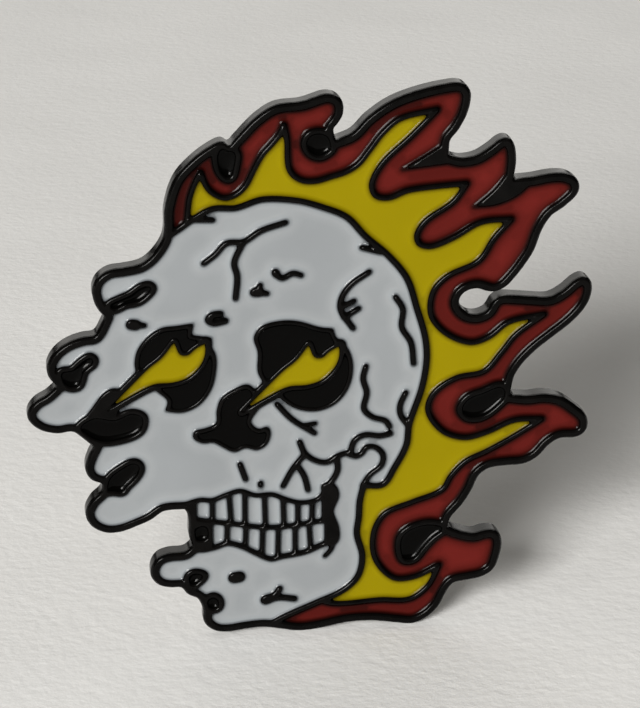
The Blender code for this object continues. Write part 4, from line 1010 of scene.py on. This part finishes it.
def wing(name, look):
    """A spring leaf: a jaw across the post, a bend at the hinge and a ribbed tab for the finger."""
    low, high = box_mm(name)
    side = 1 if name == "wing_right" else -1
    end = max(high[0], -low[0])
    jaw, tab, half = low[1] + SHEET / 2, high[1], high[2]
    bend = PIVOT_X
    line = [
        (-JAW_REACH, jaw), (bend - 0.5, jaw), (bend + 0.5, jaw + 0.8), (end - 1.9, tab - 0.78),
        (end - 0.75, tab - SHEET / 2 - 0.02), (end - 0.3, tab - 0.3), (end - 0.14, tab - 0.55),
    ]
    path = filleted(line, [0, 0.9, 0.9, 1.5, 0.5, 0.25, 0], steps=7)
    run = lengths(path)[-1]
    neck = 0.8 * half
    throat = JAW_REACH + bend
    edge = [(0, neck), (throat - 1.3, neck), (throat + 0.2, neck), (throat + 1.8, half), (run, half * 0.9)]
    outline = strip_outline(edge, [0.7, 0.1, 1.2, 1.2, 1.6])
    slot = oval((JAW_REACH, 0), *JAW_SLOT)

    def ribs(flat):
        u, v = flat.T
        reach = np.clip((u - run + 3.3) / RIB_FADE, 0, 1) * np.clip((run - 1.35 - u) / RIB_FADE, 0, 1)
        wide = np.clip((half * 0.75 - np.abs(v)) / RIB_FADE, 0, 1)
        return RIB_HEIGHT * reach * wide * np.cos((u - run) * 2 * math.pi / RIB_PITCH)

    def place(along, up, across):
        return np.stack([side * along, up, side * across], axis=1)

    return pressed(name + "_leaf", path, [outline, slot], place, look, ribs)


# Looks

class Look:
    """A material under construction: its shader's own sockets, and noise in mm."""

    def __init__(self, name, **sockets):
        self.material = bpy.data.materials.new(name)
        self.material.use_nodes = True
        self.nodes = self.material.node_tree.nodes
        self.links = self.material.node_tree.links
        self.shader = self.nodes["Principled BSDF"]
        for socket, value in sockets.items():
            self.shader.inputs[socket.replace("_", " ")].default_value = value
        place = self.node("TexCoord", {}).outputs["Object"]
        self.place = self.scaled(place, (1 / MM,) * 3)

    def node(self, kind, inputs, **settings):
        """A node with these settings. Its inputs are other nodes' sockets, or constants."""
        # The settings come first, because they decide which sockets a node has
        made = self.nodes.new("ShaderNode" + kind)
        for setting, value in settings.items():
            setattr(made, setting, value)
        for socket, given in inputs.items():
            if isinstance(given, bpy.types.NodeSocket):
                self.links.new(given, made.inputs[socket])
            else:
                made.inputs[socket].default_value = given
        return made

    def scaled(self, place, factors):
        return self.node("VectorMath", {0: place, 1: factors}, operation="MULTIPLY").outputs[0]

    def noise(self, size, detail=3.0, stretch=None):
        """Noise with features about this many mm across, from 0 to 1."""
        place = self.scaled(self.place, stretch) if stretch else self.place
        return self.node("TexNoise", {"Vector": place, "Scale": 1 / size, "Detail": detail}).outputs["Fac"]

    def value(self, name):
        return self.node("Attribute", {}, attribute_name=name).outputs["Fac"]

    def ramp(self, factor, *stops):
        """Colours or values at positions along a factor."""
        node = self.node("ValToRGB", {"Fac": factor})
        steps = node.color_ramp.elements
        while len(steps) < len(stops):
            steps.new(0.5)
        for step, (position, colour) in zip(steps, stops):
            step.position = position
            step.color = (colour,) * 3 + (1,) if isinstance(colour, (int, float)) else (*colour, 1)
        return node.outputs["Color"]

    def product(self, first, second):
        inputs = {0: 1.0, 6: first, 7: second}
        return self.node("Mix", inputs, data_type="RGBA", blend_type="MULTIPLY").outputs[2]

    def feed(self, socket, output):
        self.links.new(output, self.shader.inputs[socket])

    def vary(self, socket, noise, low, high, ends=(0.3, 0.7)):
        """Feeds a socket a colour or value that follows a noise from low to high."""
        self.feed(socket, self.ramp(noise, (ends[0], low), (ends[1], high)))

    def bumps(self, *layers):
        """Bumps in layers: (height, depth in mm)."""
        inputs = {}
        for height, depth in layers:
            inputs.update({"Height": height, "Distance": depth * MM})
            inputs["Normal"] = self.node("Bump", inputs).outputs["Normal"]
        self.feed("Normal", inputs["Normal"])


def black_metal():
    look = Look("dyed_black_metal", Metallic=0.0, IOR=1.45, Specular_IOR_Level=0.07)
    dye = ((0.0012, 0.0011, 0.001), (0.0028, 0.0025, 0.0023))
    look.vary("Base Color", look.noise(0.9), *dye, ends=(0.3, 0.75))
    look.vary("Roughness", look.noise(0.35, 4), 0.12, 0.24)
    look.bumps((look.noise(0.5), 0.006), (look.noise(0.08, 2), 0.0015))
    return look.material


def enamel_look(name, gloss, spread, *stops):
    """Glossy enamel, faintly uneven. The stops colour it from mid-pool, 0, to the metal round it, 1: painted
    shade darkening it towards the walls, and on white a painted lighter band just inside them.
    """
    look = Look(name, Metallic=0.0, IOR=1.5, Specular_IOR_Level=gloss)
    body = look.ramp(look.value("rim"), *stops)
    uneven = look.ramp(look.noise(4.5, 3), (0.3, 1 - spread), (0.7, 1.0))
    look.feed("Base Color", look.product(body, uneven))
    look.vary("Roughness", look.noise(1.2), 0.12, 0.22)
    look.bumps((look.noise(1.7, 2), 0.02), (look.noise(0.12, 2), 0.0012))
    return look.material


def plated_steel():
    look = Look("nickel_plated_steel", Metallic=1.0)
    look.vary("Base Color", look.noise(1.5), (0.58, 0.56, 0.52), (0.68, 0.66, 0.62))
    streaks = look.noise(0.12, 3, stretch=(1, 0.08, 1))
    look.vary("Roughness", streaks, 0.18, 0.34)
    look.bumps((streaks, 0.002))
    return look.material


def gilt_brass():
    look = Look("bright_gilt_brass", Metallic=1.0)
    look.vary("Base Color", look.noise(2.0, 4), (0.70, 0.50, 0.22), (0.83, 0.63, 0.31))
    streaks = look.noise(0.15, 4, stretch=(0.1, 1, 1))
    look.vary("Roughness", streaks, 0.16, 0.32)
    look.bumps((streaks, 0.0025), (look.noise(1.1, 2), 0.012))
    return look.material


def floor_look():
    look = Look("pale_floor", Roughness=0.9)
    look.vary("Base Color", look.noise(14.0, 3), (0.77, 0.768, 0.755), (0.81, 0.808, 0.795))
    look.bumps((look.noise(0.6, 4), 0.05))
    return look.material


# The pin

def dress(piece, body, slot, *nodes):
    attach(piece, body)
    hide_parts(*nodes)


def pin_face():
    grid = Grid(LOW, HIGH, CELL)
    field, found = drawing(grid)
    dress(plate(grid, field, found, black_metal()), "pin", "black_metal", "metal_base")
    looks = {
        # White: nearly black at the wall as painted shade, a painted lighter band a little way out, then the
        # mid-pool tone
        "white": enamel_look(
            "white_enamel", 0.1, 0.08, (0.0, (0.186, 0.198, 0.206)), (0.25, (0.205, 0.217, 0.225)),
            (0.6, (0.233, 0.245, 0.252)), (0.82, (0.215, 0.23, 0.24)), (1.0, (0.05, 0.055, 0.06)),
        ),
        # Yellow: darker towards the wall as painted shade
        "yellow": enamel_look(
            "yellow_enamel", 0.035, 0.05, (0.2, (0.2, 0.158, 0.0014)), (1.0, (0.05, 0.035, 0.0006)),
        ),
        # Red: fading to near black at the wall as painted shade
        "red": enamel_look(
            "red_enamel", 0.045, 0.16, (0.15, (0.1, 0.0095, 0.0075)), (0.5, (0.057, 0.0052, 0.0039)),
            (0.78, (0.013, 0.0017, 0.0012)), (1.0, (0.0015, 0.0005, 0.0004)),
        ),
        # Black: a shade darker at the wall as painted shade
        "black": enamel_look(
            "black_enamel", 0.06, 0.1, (0.0, (0.0008, 0.0007, 0.0006)), (1.0, (0.0006, 0.0006, 0.0005)),
        ),
    }
    for name, (outline, pool, colour) in found.items():
        piece = enamel(name, grid, outline, pool, colour, looks[colour])
        dress(piece, "pin", colour + "_enamel", name)


def studio():
    mesh = bpy.data.meshes.new("floor")
    signs = ((-1, -1), (1, -1), (1, 1), (-1, 1))
    corners = [(x * FLOOR_REACH, y * FLOOR_REACH, cad_box[0][2]) for x, y in signs]
    mesh.from_pydata(corners, [], [(0, 1, 2, 3)])
    mesh.materials.append(floor_look())
    linked("floor", mesh)

    world = bpy.data.worlds.new("studio_air")
    world.use_nodes = True
    air = world.node_tree.nodes["Background"].inputs
    air["Color"].default_value = (1.0, 0.94, 0.86, 1)
    air["Strength"].default_value = 0.036
    bpy.context.scene.world = world
    bpy.context.scene.view_settings.view_transform = "Standard"
    lamp("key", (-0.545, -0.955, 0.43), (0.38, 0.38), 24.0, (1.0, 0.985, 0.96))
    lamp("strip", (-0.27, -0.17, 0.11), (0.02, 0.2), 0.085, (1.0, 0.98, 0.95))
    lamp("spark", (-0.25, -0.17, 0.16), (0.015, 0.015), 0.035, (1.0, 0.99, 0.97))
    lamp("overhead", (0.05, -0.1, 0.5), (0.45, 0.45), 0.1, (1.0, 0.97, 0.93))
    lamp("back_card", (0.0, 0.6, 0.25), (0.7, 0.35), 1.4, (1.0, 0.98, 0.93))


def lamp(name, place, size, power, colour):
    light = bpy.data.lights.new(name, "AREA")
    light.shape = "RECTANGLE"
    light.size, light.size_y = size
    light.energy = power
    light.color = colour
    made = linked(name, light)
    made.location = place
    made.rotation_euler = (-Vector(place)).to_track_quat("-Z", "Y").to_euler()


def camera():
    lens = bpy.data.cameras.new("camera")
    lens.sensor_fit = "HORIZONTAL"
    lens.sensor_width = SENSOR
    lens.lens = SENSOR * FOCAL / PICTURE_WIDTH
    lens.clip_start = 0.01
    lens.clip_end = 10
    made = linked("camera", lens)
    turn, lift = math.radians(AZIMUTH), math.radians(ELEVATION)
    back = Vector((math.sin(turn) * math.cos(lift), -math.cos(turn) * math.cos(lift), math.sin(lift)))
    made.location = (Vector(AIM) + back * DISTANCE) * MM
    made.rotation_euler = back.to_track_quat("Z", "Y").to_euler()
    bpy.context.scene.camera = made


def hardware():
    steel = plated_steel()
    brass = gilt_brass()
    dress(needle_post(steel), "pin", "plated_steel", "needle_post")
    dress(spur(steel), "pin", "plated_steel", "anti_spin_spur")
    dress(disc(brass), "clutch_base", "gilt_brass", "clutch_disc")
    dress(cap(brass), "clutch_head", "gilt_brass", "clutch_cap")
    for side in ("left", "right"):
        dress(wing(f"wing_{side}", brass), f"{side}_wing", "gilt_brass", f"wing_{side}")


camera()
studio()
pin_face()
hardware()
